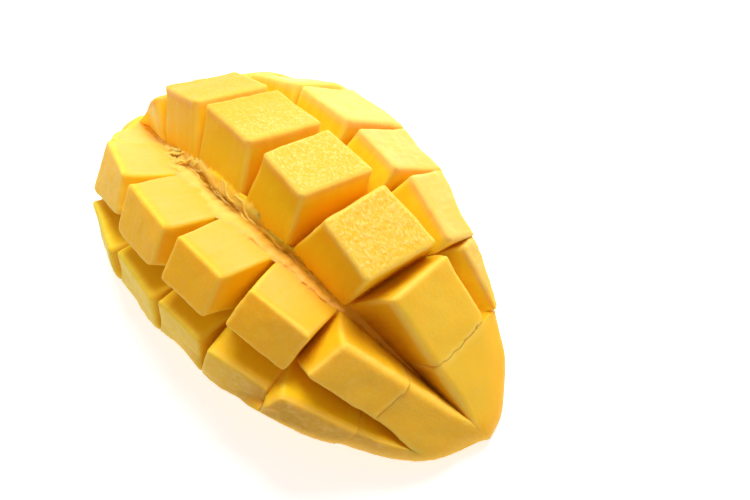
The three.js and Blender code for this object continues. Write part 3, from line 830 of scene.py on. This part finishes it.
# ---- the layer left under the cubes, with the peel on its outside ----
def layer_sheet(inset, thickness, step):
    """Flat coordinates of rings of points from the middle of one face of the layer to its rim."""
    spoke = np.arange(LAYER_SPOKES)
    angle = 2 * np.pi * spoke / LAYER_SPOKES
    points = []
    deep = FLESH_DEPTH - thickness
    for side, chosen in ((SIDES[0], np.sin(angle) >= -1e-12), (SIDES[1], np.sin(angle) < -1e-12)):
        turn = angle[chosen]
        end = np.where(np.cos(turn) < 0, -FAR_LENGTH, NEAR_LENGTH)
        power = outline(end / 2, side)[1]
        along = end * np.abs(np.cos(turn)) ** (2 / power)
        edge = np.arccos((rim_drop(along) + step) / deep)
        share = np.arange(LAYER_RINGS + 1)[:, None] / LAYER_RINGS
        out = np.sin(edge * share)
        x = out * along
        y = side["sign"] * width_at(x, out, side) * (1 - inset / side["half_width"])
        depth = deep * np.cos(edge * share)
        points.append(np.stack([x - inset * x / np.abs(end), y, depth], axis=2))
    return np.concatenate(points, axis=1)


def unfold(sheet, flat):
    """Smooth the sheet where the tight bend under the middle cut pinches it."""
    x = flat[1:-1, :, :1]
    y = flat[1:-1, :, 1:2]
    along = smooth(-x, *PINCH_BEGINS) * (1 - smooth(-x, *PINCH_ENDS))
    share = (1 - smooth(np.abs(y), *PINCH_ACROSS)) * along
    for _ in range(PINCH_ROUNDS):
        around = np.roll(sheet, 1, axis=1)[1:-1] + np.roll(sheet, -1, axis=1)[1:-1]
        sheet[1:-1] = mix(sheet[1:-1], (around + sheet[2:] + sheet[:-2]) / 4, share)


def layer():
    """Points and facets of the whole layer, with the values of its points."""
    peel_side = layer_sheet(0, 0, 0)
    flesh_side = layer_sheet(PEEL, LAYER, RIM_STEP)
    flat = np.concatenate([peel_side.reshape(-1, 3), flesh_side.reshape(-1, 3)])
    number = np.arange(len(flat)).reshape(2, LAYER_RINGS + 1, LAYER_SPOKES)
    closed = np.concatenate([number, number[:, :, :1]], axis=2)
    facets = np.concatenate([
        facets_of(closed[0], True),
        facets_of(closed[1], False),
        facets_of(np.stack([closed[0, -1], closed[1, -1]]), True),
    ])
    points = bent(flat[:, 0], flat[:, 1], flat[:, 2])
    for sheet in points.reshape(2, LAYER_RINGS + 1, LAYER_SPOKES, 3):
        unfold(sheet, peel_side)
    return {
        "points": points,
        "facets": facets,
        "flat": flat,
        "peel": np.repeat([1.0, 0.0], len(flat) // 2),
        # Painted shade: the layer's flesh side shows in the valleys between the cubes.
        "tint": np.multiply.outer(np.ones(len(flat)), VALLEY_SHADE),
    }


# ---- torn fibres along the bottom of the middle cut ----
def between_walls(x, share, depth):
    """Places in the open middle cut, from the wall on one side (share 0) to the other (share 1)."""
    column = np.searchsorted(CROSS_CUTS[:LAST_FRAME], x)
    low = ((depth / (FLESH_DEPTH - EMBED)) ** 2)[:, None]
    sides = []
    for side, frames in zip(SIDES, FRAMES):
        place = np.empty((len(x), 3))
        for number in range(LAST_FRAME + 1):
            here = column == number
            place[here] = rigid(frames[number][0], x[here], np.zeros(here.sum()), depth[here])
        sides.append(mix(place, bent(x, 0 * x + side["sign"] * KERF / 2, depth), low))
    return mix(sides[1], sides[0], share[:, None])


def from_crevice(x, share):
    """How far a place is from the ragged line of the crevice, as a share of the cut's width."""
    middle = mix(*CREVICE_MIDDLE, smooth(x, *CREVICE_DRIFTS))
    wander = middle + 0.10 * noise(row(x / 8), 71) + 0.06 * noise(row(x / 1.5), 72)
    return np.abs(share - wander)


def crevice(x, share):
    """1 at the bottom of the crevice, which is broken up at its far end and shut at its near end."""
    broken = smooth(noise(row(x / 3.5), 75), -0.25, 0.15)
    here = mix(broken, 1, smooth(x, *CREVICE_BROKEN)) * (1 - smooth(x, *CREVICE_OPEN))
    width = mix(*CREVICE_WIDTH, smooth(x, *CREVICE_WIDENS))
    return here * (1 - smooth(from_crevice(x, share), CREVICE_CORE, width))


def fibre_depth(x, share):
    """How deep the torn surface lies: a lip at the foot of each wall and a crevice between them."""
    half_length = (FIBRE_ALONG[1] - FIBRE_ALONG[0]) / 2
    length, sunk = FIBRE_ENDS
    ends = smooth(np.abs(x - FIBRE_ALONG[0] - half_length), half_length - length, half_length)
    rise = mix(*LIP_RISE, smooth(x, *LIP_SINKS)) * smooth(from_crevice(x, share), *LIP_REACH)
    torn = 0.45 * ridged(row(x / 2.6, share * 5), 73) + 0.3 * ridged(row(x / 1.1, share * 4), 74)
    return FIBRE_LIP - rise - torn + CREVICE_DEPTH * crevice(x, share) + sunk * ends


def fibre_tint(x, share):
    """Tan on the lips, brown and painted shade in the crevice, and the colour of the walls beside them.
    """
    wall = mix(INNER_WALLS[1][0], INNER_WALLS[0][0], smooth(share, 0.3, 0.7)[:, None])
    threads = smooth(ridged(row(x / 3, share * 6), 76), -0.2, 0.7)
    clean = smooth(x, *TAN_FADES)
    lip = 1 - smooth(from_crevice(x, share), *TAN_REACH)
    lip = lip * smooth(x, *TAN_BEGINS) * (1 - 0.6 * clean)
    fibre = mix(PALE_FIBRE, DEEP_FLESH, 0.6 * clean[:, None])
    tan = mix(wall, fibre, (lip * mix(0.55, 1, threads))[:, None])
    # Painted shade at the bottom of the crevice.
    return mix(tan, BROWN_FIBRE_AND_CREVICE_SHADE, (crevice(x, share) * smooth(x, *CREVICE_SHADE_BEGINS))[:, None])


def fibre_strip():
    """The torn surface itself, as a closed block sunk into the flesh on both sides."""
    columns = round((FIBRE_ALONG[1] - FIBRE_ALONG[0]) / FIBRE_STEP)
    places, facets = box_surface(columns, FIBRE_ROWS, FIBRE_LEVELS, False)
    x = mix(*FIBRE_ALONG, places[:, 0] / columns)
    share = mix(*FIBRE_ACROSS, places[:, 1] / FIBRE_ROWS)
    bottom = np.minimum(FIBRE_BOTTOM, depth_at(x, 0, SIDES[0]) - OVER_PEEL)
    top = np.minimum(fibre_depth(x, share), bottom - FIBRE_LEAST)
    depth = mix(top, bottom, places[:, 2] / FIBRE_LEVELS)
    return {
        "points": between_walls(x, share, depth),
        "facets": facets,
        "flat": np.stack([x, share * OPEN_WIDTH, depth], axis=1),
        "tint": fibre_tint(x, share),
    }


def tube(x, share, depth, radius, tint):
    """A thin tapering strand along a line of places in the middle cut."""
    line = between_walls(x, share, depth)
    along = np.gradient(line, axis=0)
    along /= np.linalg.norm(along, axis=1)[:, None]
    side = np.cross(along, (0.3, 0.2, 1.0))
    side /= np.linalg.norm(side, axis=1)[:, None]
    over = np.cross(side, along)
    taper = radius * np.sin(np.pi * np.linspace(0.05, 0.95, len(x))) ** 0.6
    angle = 2 * np.pi * np.arange(STRAND_SIDES) / STRAND_SIDES
    rings = line[:, None] + taper[:, None, None] * (
        np.cos(angle)[:, None] * side[:, None] + np.sin(angle)[:, None] * over[:, None]
    )
    number = np.arange(len(x) * STRAND_SIDES).reshape(len(x), STRAND_SIDES)
    closed = np.concatenate([number, number[:, :1]], axis=1)
    return {
        "points": rings.reshape(-1, 3),
        "facets": [*facets_of(closed, False), number[0], number[-1, ::-1]],
        "flat": np.repeat(row(x, share * OPEN_WIDTH, depth), STRAND_SIDES, axis=0),
        "tint": np.multiply.outer(np.ones(number.size), tint),
    }


def strands():
    """Loose fibres: along the cut, lapping up the walls beside it, and a few across it."""
    draw = np.random.default_rng(12)
    t = np.linspace(0, 1, STRAND_STEPS)
    low = FIBRE_ALONG[0] + 4
    made = []
    for _ in range(LYING_STRANDS):
        x = draw.uniform(low, 6) + (t - 0.5) * draw.uniform(*LYING_LENGTH)
        share = draw.uniform(0.15, 0.85) + (t - 0.5) * draw.uniform(-0.25, 0.25) + 0.06 * np.sin(7 * t)
        lift = draw.uniform(-0.05, 0.1)
        shade = mix(PALE_FIBRE, BROWN_FIBRE_AND_CREVICE_SHADE, draw.uniform(0, 0.35))
        made.append(tube(x, share, fibre_depth(x, share) - lift, draw.uniform(*LYING_RADIUS), shade))
    for _ in range(LAPPING_STRANDS):
        on_narrow_side = draw.uniform() < 0.75
        length = draw.uniform(*LAPPING_LENGTH)
        x = draw.uniform(low, -8) - t * length
        foot = draw.uniform(0.1, 0.3)
        share = mix(foot, -0.01, t ** 0.7)
        climb = draw.uniform(0.4, 1.8) * t ** 1.5
        share = share if on_narrow_side else 1 - share
        shade = mix(PALE_FIBRE, INNER_WALLS[int(on_narrow_side)][0], draw.uniform(0.3, 0.8))
        depth = fibre_depth(x, share) - climb * (1 if on_narrow_side else 0.6)
        made.append(tube(x, share, depth, draw.uniform(*LAPPING_RADIUS), shade))
    for start, length in CROSSING_STRANDS:
        for strand in range(CROSSING_EACH):
            x = start + t * length + draw.uniform(-0.6, 0.6)
            share = mix(0.02, 0.95, t) + 0.03 * strand
            depth = fibre_depth(x, np.where(share < 0.5, 0.1, 0.9)) + draw.uniform(-0.2, 0.2)
            made.append(tube(x, share, depth, draw.uniform(*CROSSING_RADIUS), PALE_FIBRE))
    return made


# ---- relief of the cut flesh, as heights in millimetres ----
# The cut faces that aren't stippled: kind, height and size of their streaks along, across and down,
# height and size of the grain, and how far the specks with their painted glints show.
PLAIN_FACES = {
    (0, 1): (ridged, 0.10, (1.4, 5, 9), 0.04, 0.9, 0.1),
    (1, 0): (noise, 0.05, (0.9, 1.2, 9), 0.04, 0.7, 0.15),
    (1, 1): (ridged, 0.10, (1.6, 1.1, 9), 0.05, 0.8, 0.14),
}


def stippled_face(flat, seed):
    """Stipple of the wide side's inner row, most on its middle cubes, and how far specks and their
    painted glints show.
    """
    specks = mix(0.25, 0.8, smooth(flat[:, 0], -20, 0)) * mix(1, 0.08, smooth(flat[:, 0], 33, 38))
    swirled = flat + 0.4 * noise(flat / 1.4, seed)[:, None]
    wrinkles = ridged(swirled / (1.1, 0.75, 9), seed)
    grains = noise(flat / (0.65, 0.65, 9), seed + 1)
    return specks * (0.13 * wrinkles + 0.08 * grains), specks


def plain_face(flat, settings, seed):
    """Streaks and grain of another cut face, and how far its specks and their painted glints show."""
    pattern, height, size, grain_height, grain_size, specks = settings
    streaks = height * pattern(flat / size, seed)
    grains = grain_height * noise(flat / grain_size, seed + 1)
    return streaks + grains, specks


def wall_relief(flat, seed):
    """Marks that the knife leaves down the walls, and soft hollows."""
    marks = noise(flat / (1.4, 1.4, 12), seed)
    return 0.05 * marks + 0.04 * noise(flat / 1.2, seed + 1)


def relief(made, side_index, ring, column):
    """The cube with its flesh moved in or out along its own normals."""
    flat = made["flat"]
    seed = 100 * side_index + 20 * ring + column
    on_top = made["on_top"]
    if (side_index, ring) in PLAIN_FACES:
        stipple, specks = plain_face(flat, PLAIN_FACES[side_index, ring], seed + 5)
    else:
        stipple, specks = stippled_face(flat, seed + 5)
    # Pale crests, partly painted highlight, and how far the specks with their painted glints show.
    made["crest"] = on_top * smooth(stipple, 0.02, 0.16)
    made["stipple"] = on_top * specks
    heights = 0.22 * noise(flat / 7 + seed, seed + 3) + 0.10 * noise(flat / 3 + seed, seed + 4)
    heights += on_top * stipple + (1 - on_top) * wall_relief(flat, seed + 7)
    heights *= 1 - 0.8 * made["level"] ** 2
    made["points"] = made["points"] + heights[:, None] * normals(made["points"], made["facets"])
    return made


# ---- the flesh's colour, with painted light and shade ----
def wall_tint(made, side_index, ring):
    """The walls' colour: deeper more orange and darker, another along the inner cuts, partly painted
    light and shade.
    """
    x = made["flat"][:, :1]
    depth = made["flat"][:, 2:]
    level = made["level"][:, None]
    # Paler under the top edge and darker deeper down: partly the flesh's own colour, partly painted
    # light and shade.
    wall = mix(NEAR_TOP_FLESH, FLESH, smooth(depth, *NEAR_TOP_DEPTHS))
    wall = mix(wall, DEEP_FLESH, smooth(depth, *SHADE_DEPTHS[side_index][ring]))
    inner_wall = mix(INNER_WALLS[side_index][ring], DEEP_FLESH, 0.8 * smooth(depth, *INNER_WALL_DEPTHS))
    # Painted light on the far end's inner walls.
    if side_index == 0:
        inner_wall = mix(inner_wall, FAR_WALL_LIGHT, smooth(-x, *FAR_WALL_LIGHT_ALONG))
    # Painted shade on the walls at the near end.
    if ring == 0 or side_index == 1:
        wall = mix(wall, NEAR_END_SHADE, 0.8 * smooth(x, *NEAR_END_SHADE_ALONG))
    if ring == 0:
        # Painted shade on the inner walls at the near end.
        inner_wall = mix(inner_wall, NEAR_END_SHADE, smooth(x, *NEAR_INNER_SHADE_ALONG))
        # Painted shade down the V-groove.
        groove_shade = smooth(x, *GROOVE_SHADE_ALONG) * smooth(level, *GROOVE_SHADE_LEVELS)
        inner_wall = mix(inner_wall, GROOVE_SHADE, groove_shade)
    return np.where(made["inner_wall"][:, None], inner_wall, wall)


def tint(made, side_index, ring):
    """The flesh's colour with painted light and shade: cut faces and walls, painted highlights on the
    edges and painted shade in the shut cut.
    """
    x = made["flat"][:, :1]
    level = made["level"][:, None]
    on_rim = made["on_rim"][:, None]
    far, middle, near = CUT_FACES[side_index][ring]
    face = mix(mix(far, middle, smooth(x, *SHADES_ALONG[:2])), near, smooth(x, *SHADES_ALONG[1:]))
    # Pale crests, partly painted highlight.
    face = mix(face, CREST_COLOUR, CREST_SHOWS * made["crest"][:, None])
    face = mix(face, RIM_FLESH[side_index], RIM_SHOWS * on_rim)
    colour = mix(wall_tint(made, side_index, ring), face, 1 - smooth(level, *TOP_LEVELS))
    # Painted highlight along the edges of the cut faces.
    edge_highlight = 1 - smooth(made["edge"][:, None], *EDGE_HIGHLIGHT_REACH)
    edge_highlight = edge_highlight * (1 - smooth(level, *EDGE_HIGHLIGHT_LEVELS))
    edge_highlight *= (1 - on_rim) * EDGE_HIGHLIGHT_SHOWS[side_index][ring]
    colour = mix(colour, EDGE_HIGHLIGHT, edge_highlight)
    # Painted shade in the shut cut.
    return mix(colour, SHUT_CUT_SHADE, made["shut"][:, None])


# ---- meshes ----
def write_values(mesh, name, values):
    key = "vector" if VALUE_SIZES[name] == 3 else "value"
    mesh.attributes[name].data.foreach_set(key, values.ravel())


def read_values(mesh, name):
    size = VALUE_SIZES[name]
    values = np.empty(len(mesh.vertices) * size)
    mesh.attributes[name].data.foreach_get("vector" if size == 3 else "value", values)
    return values.reshape(-1, size)


def add_object(name, data):
    made = bpy.data.objects.new(name, data)
    bpy.context.scene.collection.objects.link(made)
    return made


def add_mesh(name, made):
    """An object with these points and facets, and with the values that the material reads."""
    mesh = bpy.data.meshes.new(name)
    mesh.from_pydata(made["points"].tolist(), [], list(map(list, made["facets"])))
    for key, size in VALUE_SIZES.items():
        if key in made:
            mesh.attributes.new(key, "FLOAT_VECTOR" if size == 3 else "FLOAT", "POINT")
            write_values(mesh, key, made[key])
    return add_object(name, mesh)


# ---- joining ----
def join(core, blocks):
    """Make the core one closed surface round the layer and every block."""
    group = bpy.data.collections.new("cubes")
    for block in blocks:
        group.objects.link(block)
    modifier = core.modifiers.new("join", "BOOLEAN")
    modifier.operation = "UNION"
    modifier.operand_type = "COLLECTION"
    modifier.collection = group
    modifier.solver = "MANIFOLD"
    graph = bpy.context.evaluated_depsgraph_get()
    mesh = bpy.data.meshes.new_from_object(core.evaluated_get(graph))
    core.modifiers.clear()
    core.data = mesh
    fill_seams(mesh)
    thin_out(core)
    edit(core, drop_crumbs)
    for block in blocks:
        bpy.data.objects.remove(block)
    bpy.data.collections.remove(group)


def fill_seams(mesh):
    """Give the points of new seams, which carry no values, the mean of the points beside them."""
    count = len(mesh.vertices)
    ends = np.empty(len(mesh.edges) * 2, int)
    mesh.edges.foreach_get("vertices", ends)
    ends = np.concatenate([ends.reshape(-1, 2), ends.reshape(-1, 2)[:, ::-1]])
    filled = read_values(mesh, "tint").any(axis=1)
    while not filled.all():
        usable = ends[filled[ends[:, 0]] & ~filled[ends[:, 1]]]
        if not len(usable):
            break
        neighbours = np.bincount(usable[:, 1], minlength=count)
        reached = neighbours > 0
        for name, size in VALUE_SIZES.items():
            values = read_values(mesh, name)
            for axis in range(size):
                total = np.bincount(usable[:, 1], values[usable[:, 0], axis], count)
                values[reached, axis] = total[reached] / neighbours[reached]
            write_values(mesh, name, values)
        filled |= reached


def thin_out(made):
    """Merge facets where the surface is flattest until few enough are left."""
    made.data.calc_loop_triangles()
    count = len(made.data.loop_triangles)
    if count <= MOST_TRIANGLES:
        return
    modifier = made.modifiers.new("thin", "DECIMATE")
    modifier.ratio = MOST_TRIANGLES / count
    graph = bpy.context.evaluated_depsgraph_get()
    made.data = bpy.data.meshes.new_from_object(made.evaluated_get(graph))
    made.modifiers.clear()


def parts_of(work):
    """The vertices of each connected part of a bmesh."""
    left = set(work.verts)
    while left:
        part = [left.pop()]
        for vertex in part:
            fresh = left.intersection(edge.other_vert(vertex) for edge in vertex.link_edges)
            left -= fresh
            part += fresh
        yield part


def drop_crumbs(work):
    """Take away slivers and closed-off pockets that no edge joins to the main surface."""
    for crumb in sorted(parts_of(work), key=len)[:-1]:
        bmesh.ops.delete(work, geom=crumb, context="VERTS")
    bmesh.ops.dissolve_degenerate(work, dist=CRUMB_SIZE, edges=work.edges)


def weld(work):
    bmesh.ops.remove_doubles(work, verts=work.verts, dist=WELD_SIZE)


def edit(made, change):
    """Apply a change to the object's mesh as a bmesh."""
    work = bmesh.new()
    work.from_mesh(made.data)
    change(work)
    work.to_mesh(made.data)
    work.free()


# ---- the whole half, laid down ----
def whole_half():
    """The layer with every cube and fibre joined to it."""
    core = add_mesh("mango_flesh_and_peel", layer())
    edit(core, weld)
    blocks = []
    for side_index, ring in itertools.product(range(2), range(2)):
        for column in range(COLUMNS if ring == 0 else SIDES[side_index]["outer_columns"]):
            cube = Cube(side_index, ring, column)
            if fits(cube):
                made = relief(surface(cube), side_index, ring, column)
                made["tint"] = tint(made, side_index, ring)
                blocks.append(add_mesh("cube", made))
    blocks += [add_mesh("fibre", made) for made in (fibre_strip(), *strands())]
    join(core, blocks)
    return core


def settled(height):
    """Heights over the lowest point, lowered by the trim and flattened towards the floor."""
    t = np.minimum(1, height / SETTLED_HEIGHT)
    start = (t ** 3 - 2 * t ** 2 + t) * SETTLED_HEIGHT * SETTLED_SLOPE
    end = (3 * t ** 2 - 2 * t ** 3) * (SETTLED_HEIGHT - FLOOR_TRIM) + (t ** 3 - t ** 2) * SETTLED_HEIGHT
    return np.where(height < SETTLED_HEIGHT, start + end, height - FLOOR_TRIM)


def lay_down(made):
    """Turn it to lie on the floor as the CAD node lies, in metres."""
    places = np.empty(len(made.data.vertices) * 3)
    made.data.vertices.foreach_get("co", places)
    places = places.reshape(-1, 3)
    places = turned(places, np.array((0.0, 1, 0)), REST_PITCH)
    places = turned(places, np.array((1.0, 0, 0)), REST_ROLL)
    places[:, 2] = settled(places[:, 2] - places[:, 2].min())
    low, high = (np.array(corner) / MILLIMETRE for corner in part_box(NODE))
    own_low = places.min(axis=0)
    own_high = places.max(axis=0)
    places[:, :2] += ((low + high - own_low - own_high) / 2)[:2]
    places *= np.minimum(1, (high - low) / (own_high - own_low))
    made.data.vertices.foreach_set("co", (places * MILLIMETRE).ravel())
    made.data.update()


half = whole_half()
lay_down(half)
half.data.shade_smooth()
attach(half, "root")
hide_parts(NODE)


# ---- material ----
CLOUD_SCALE = 0.16
MOTTLE_SCALE = 0.9
GRAIN_SCALE = 2.6
STREAK_SCALE = 0.8
SPECK_SCALE = 1.6


def rgba(colour):
    return colour if isinstance(colour, bpy.types.NodeSocket) else (*colour, 1)


class Graph:
    """A new material, with nodes added to it and linked."""

    def __init__(self, name):
        self.material = bpy.data.materials.new(name)
        self.material.use_nodes = True
        self.tree = self.material.node_tree

    def feed(self, node, inputs):
        for key, value in inputs.items():
            if isinstance(value, bpy.types.NodeSocket):
                self.tree.links.new(value, node.inputs[key])
            else:
                node.inputs[key].default_value = value

    def shaded(self, inputs):
        """The material, its shader fed with these inputs."""
        self.feed(self.tree.nodes["Principled BSDF"], inputs)
        return self.material

    def node(self, kind, inputs, **settings):
        made = self.tree.nodes.new(kind)
        for key, value in settings.items():
            setattr(made, key, value)
        self.feed(made, inputs)
        return made.outputs

    def attribute(self, name, output="Fac"):
        return self.node("ShaderNodeAttribute", {}, attribute_name=name)[output]

    def math(self, operation, a, b):
        return self.node("ShaderNodeMath", {0: a, 1: b}, operation=operation)[0]

    def ramp(self, value, low, high, out_low=0.0, out_high=1.0):
        inputs = dict(enumerate((value, low, high, out_low, out_high)))
        return self.node("ShaderNodeMapRange", inputs, interpolation_type="SMOOTHSTEP")[0]

    def blend(self, share, a, b):
        return self.node("ShaderNodeMix", {0: share, 6: rgba(a), 7: rgba(b)}, data_type="RGBA")[2]

    def noise(self, place, scale, detail, stretch=(1, 1, 1)):
        mapped = self.node("ShaderNodeMapping", {"Vector": place, "Scale": stretch})[0]
        inputs = {"Vector": mapped, "Scale": scale, "Detail": detail}
        return self.node("ShaderNodeTexNoise", inputs)["Fac"]

    def bump(self, height, distance, strength, below=None):
        inputs = {"Strength": strength, "Distance": distance, "Height": height}
        if below is not None:
            inputs["Normal"] = below
        return self.node("ShaderNodeBump", inputs)["Normal"]


def flesh_material():
    graph = Graph("mango_flesh")
    flat = graph.attribute("flat", "Vector")
    peel = graph.attribute("peel")
    clouds = graph.noise(flat, CLOUD_SCALE, 3)
    mottle = graph.noise(flat, MOTTLE_SCALE, 3)
    grain = graph.noise(flat, GRAIN_SCALE, 2)
    streaks = graph.noise(flat, STREAK_SCALE, 2, (1, 1, 0.12))

    # Flesh: its tint, which carries painted light and shade, with cloudy patches, and streaks down the
    # walls.
    colour = graph.attribute("tint", "Vector")
    patches = graph.ramp(clouds, 0.3, 0.7, 0, 0.22)
    uneven = graph.math("ADD", patches, graph.ramp(streaks, 0.3, 0.7, 0, 0.15))
    colour = graph.blend(uneven, colour, DEEP_FLESH)
    # Stippled cut faces: painted glints, pale specks on the crests of a fine grain.
    stipple = graph.attribute("stipple")
    specks = graph.noise(flat, SPECK_SCALE, 1, (0.7, 1.2, 0.4))
    glints = graph.math("MULTIPLY", graph.ramp(specks, 0.5, 0.72, 0, 0.5), stipple)
    colour = graph.blend(glints, colour, GLINT_COLOUR)
    # Peel: two mottled yellows with darker pores.
    skin = graph.blend(graph.ramp(mottle, 0.3, 0.75), PEEL_YELLOW, PEEL_GOLD)
    skin = graph.blend(graph.ramp(grain, 0.62, 0.72, 0, 0.4), skin, PEEL_PORE)
    colour = graph.blend(peel, colour, skin)

    dry = graph.ramp(mottle, 0.3, 0.7, 0.48, 0.66)
    wet = graph.math("SUBTRACT", dry, graph.math("MULTIPLY", stipple, 0.2))
    fine = graph.bump(grain, 0.12 * MILLIMETRE, 0.5)
    graining = graph.bump(graph.math("MULTIPLY", specks, stipple), 0.3 * MILLIMETRE, 0.6, fine)
    return graph.shaded({
        "Base Color": colour,
        "Roughness": wet,
        "Specular IOR Level": 0.2,
        "Subsurface Weight": 0.5,
        "Subsurface Radius": (1.0, 0.6, 0.1),
        "Subsurface Scale": 4 * MILLIMETRE,
        "Normal": graph.bump(mottle, 0.2 * MILLIMETRE, 0.3, graining),
    })


half.data.materials.clear()
half.data.materials.append(flesh_material())


# ---- the floor, the light and the camera ----
CAMERA_PLACE = Vector((168.18, 2.16, 404.86)) * MILLIMETRE
CAMERA_AIM = Vector((18.56, 11.20, 20.4)) * MILLIMETRE
CAMERA_ROLL = -44.79
CAMERA_LENS = 82.4
SENSOR_WIDTH = 36
FLOOR_REACH = 1.5
FLOOR_GLOW = 0.52
WORLD_STRENGTH = 0.42
LAMP_PLACE = Vector((-0.2, 0.5, 0.6))
LAMP_AIM = Vector((0, 0, 0.02))
LAMP_SIZE = 0.45
LAMP_POWER = 7.6


def aimed(data, place, aim, roll):
    """A new camera or lamp at a place, looking at another, and rolled about its line of sight."""
    made = add_object(data.name, data)
    back = (place - aim).normalized()
    side = Vector((0, 0, 1)).cross(back).normalized()
    axes = Matrix((side, back.cross(side), back)).transposed()
    rolled = axes @ Matrix.Rotation(np.radians(roll), 3, "Z")
    made.matrix_world = Matrix.Translation(place) @ rolled.to_4x4()
    return made


def add_camera():
    data = bpy.data.cameras.new("camera")
    data.lens = CAMERA_LENS
    data.sensor_width = SENSOR_WIDTH
    data.clip_start = 0.01
    bpy.context.scene.camera = aimed(data, CAMERA_PLACE, CAMERA_AIM, CAMERA_ROLL)


def add_floor():
    corners = np.array([(-1, -1, 0), (1, -1, 0), (1, 1, 0), (-1, 1, 0)]) * FLOOR_REACH
    floor = add_mesh("floor", {"points": corners, "facets": [(0, 1, 2, 3)]})
    floor.data.materials.append(Graph("pale_floor").shaded({
        "Base Color": (0.95, 0.95, 0.95, 1),
        "Roughness": 0.9,
        "Emission Color": (1, 1, 1, 1),
        "Emission Strength": FLOOR_GLOW,
    }))


def add_key_lamp():
    data = bpy.data.lights.new("key", "AREA")
    data.size = LAMP_SIZE
    data.energy = LAMP_POWER
    aimed(data, LAMP_PLACE, LAMP_AIM, 0)


def add_world():
    world = bpy.data.worlds.new("soft_white")
    world.use_nodes = True
    inputs = world.node_tree.nodes["Background"].inputs
    inputs["Color"].default_value = (1, 1, 1, 1)
    inputs["Strength"].default_value = WORLD_STRENGTH
    bpy.context.scene.world = world


add_camera()
add_floor()
add_world()
add_key_lamp()
bpy.context.scene.view_settings.view_transform = "Standard"
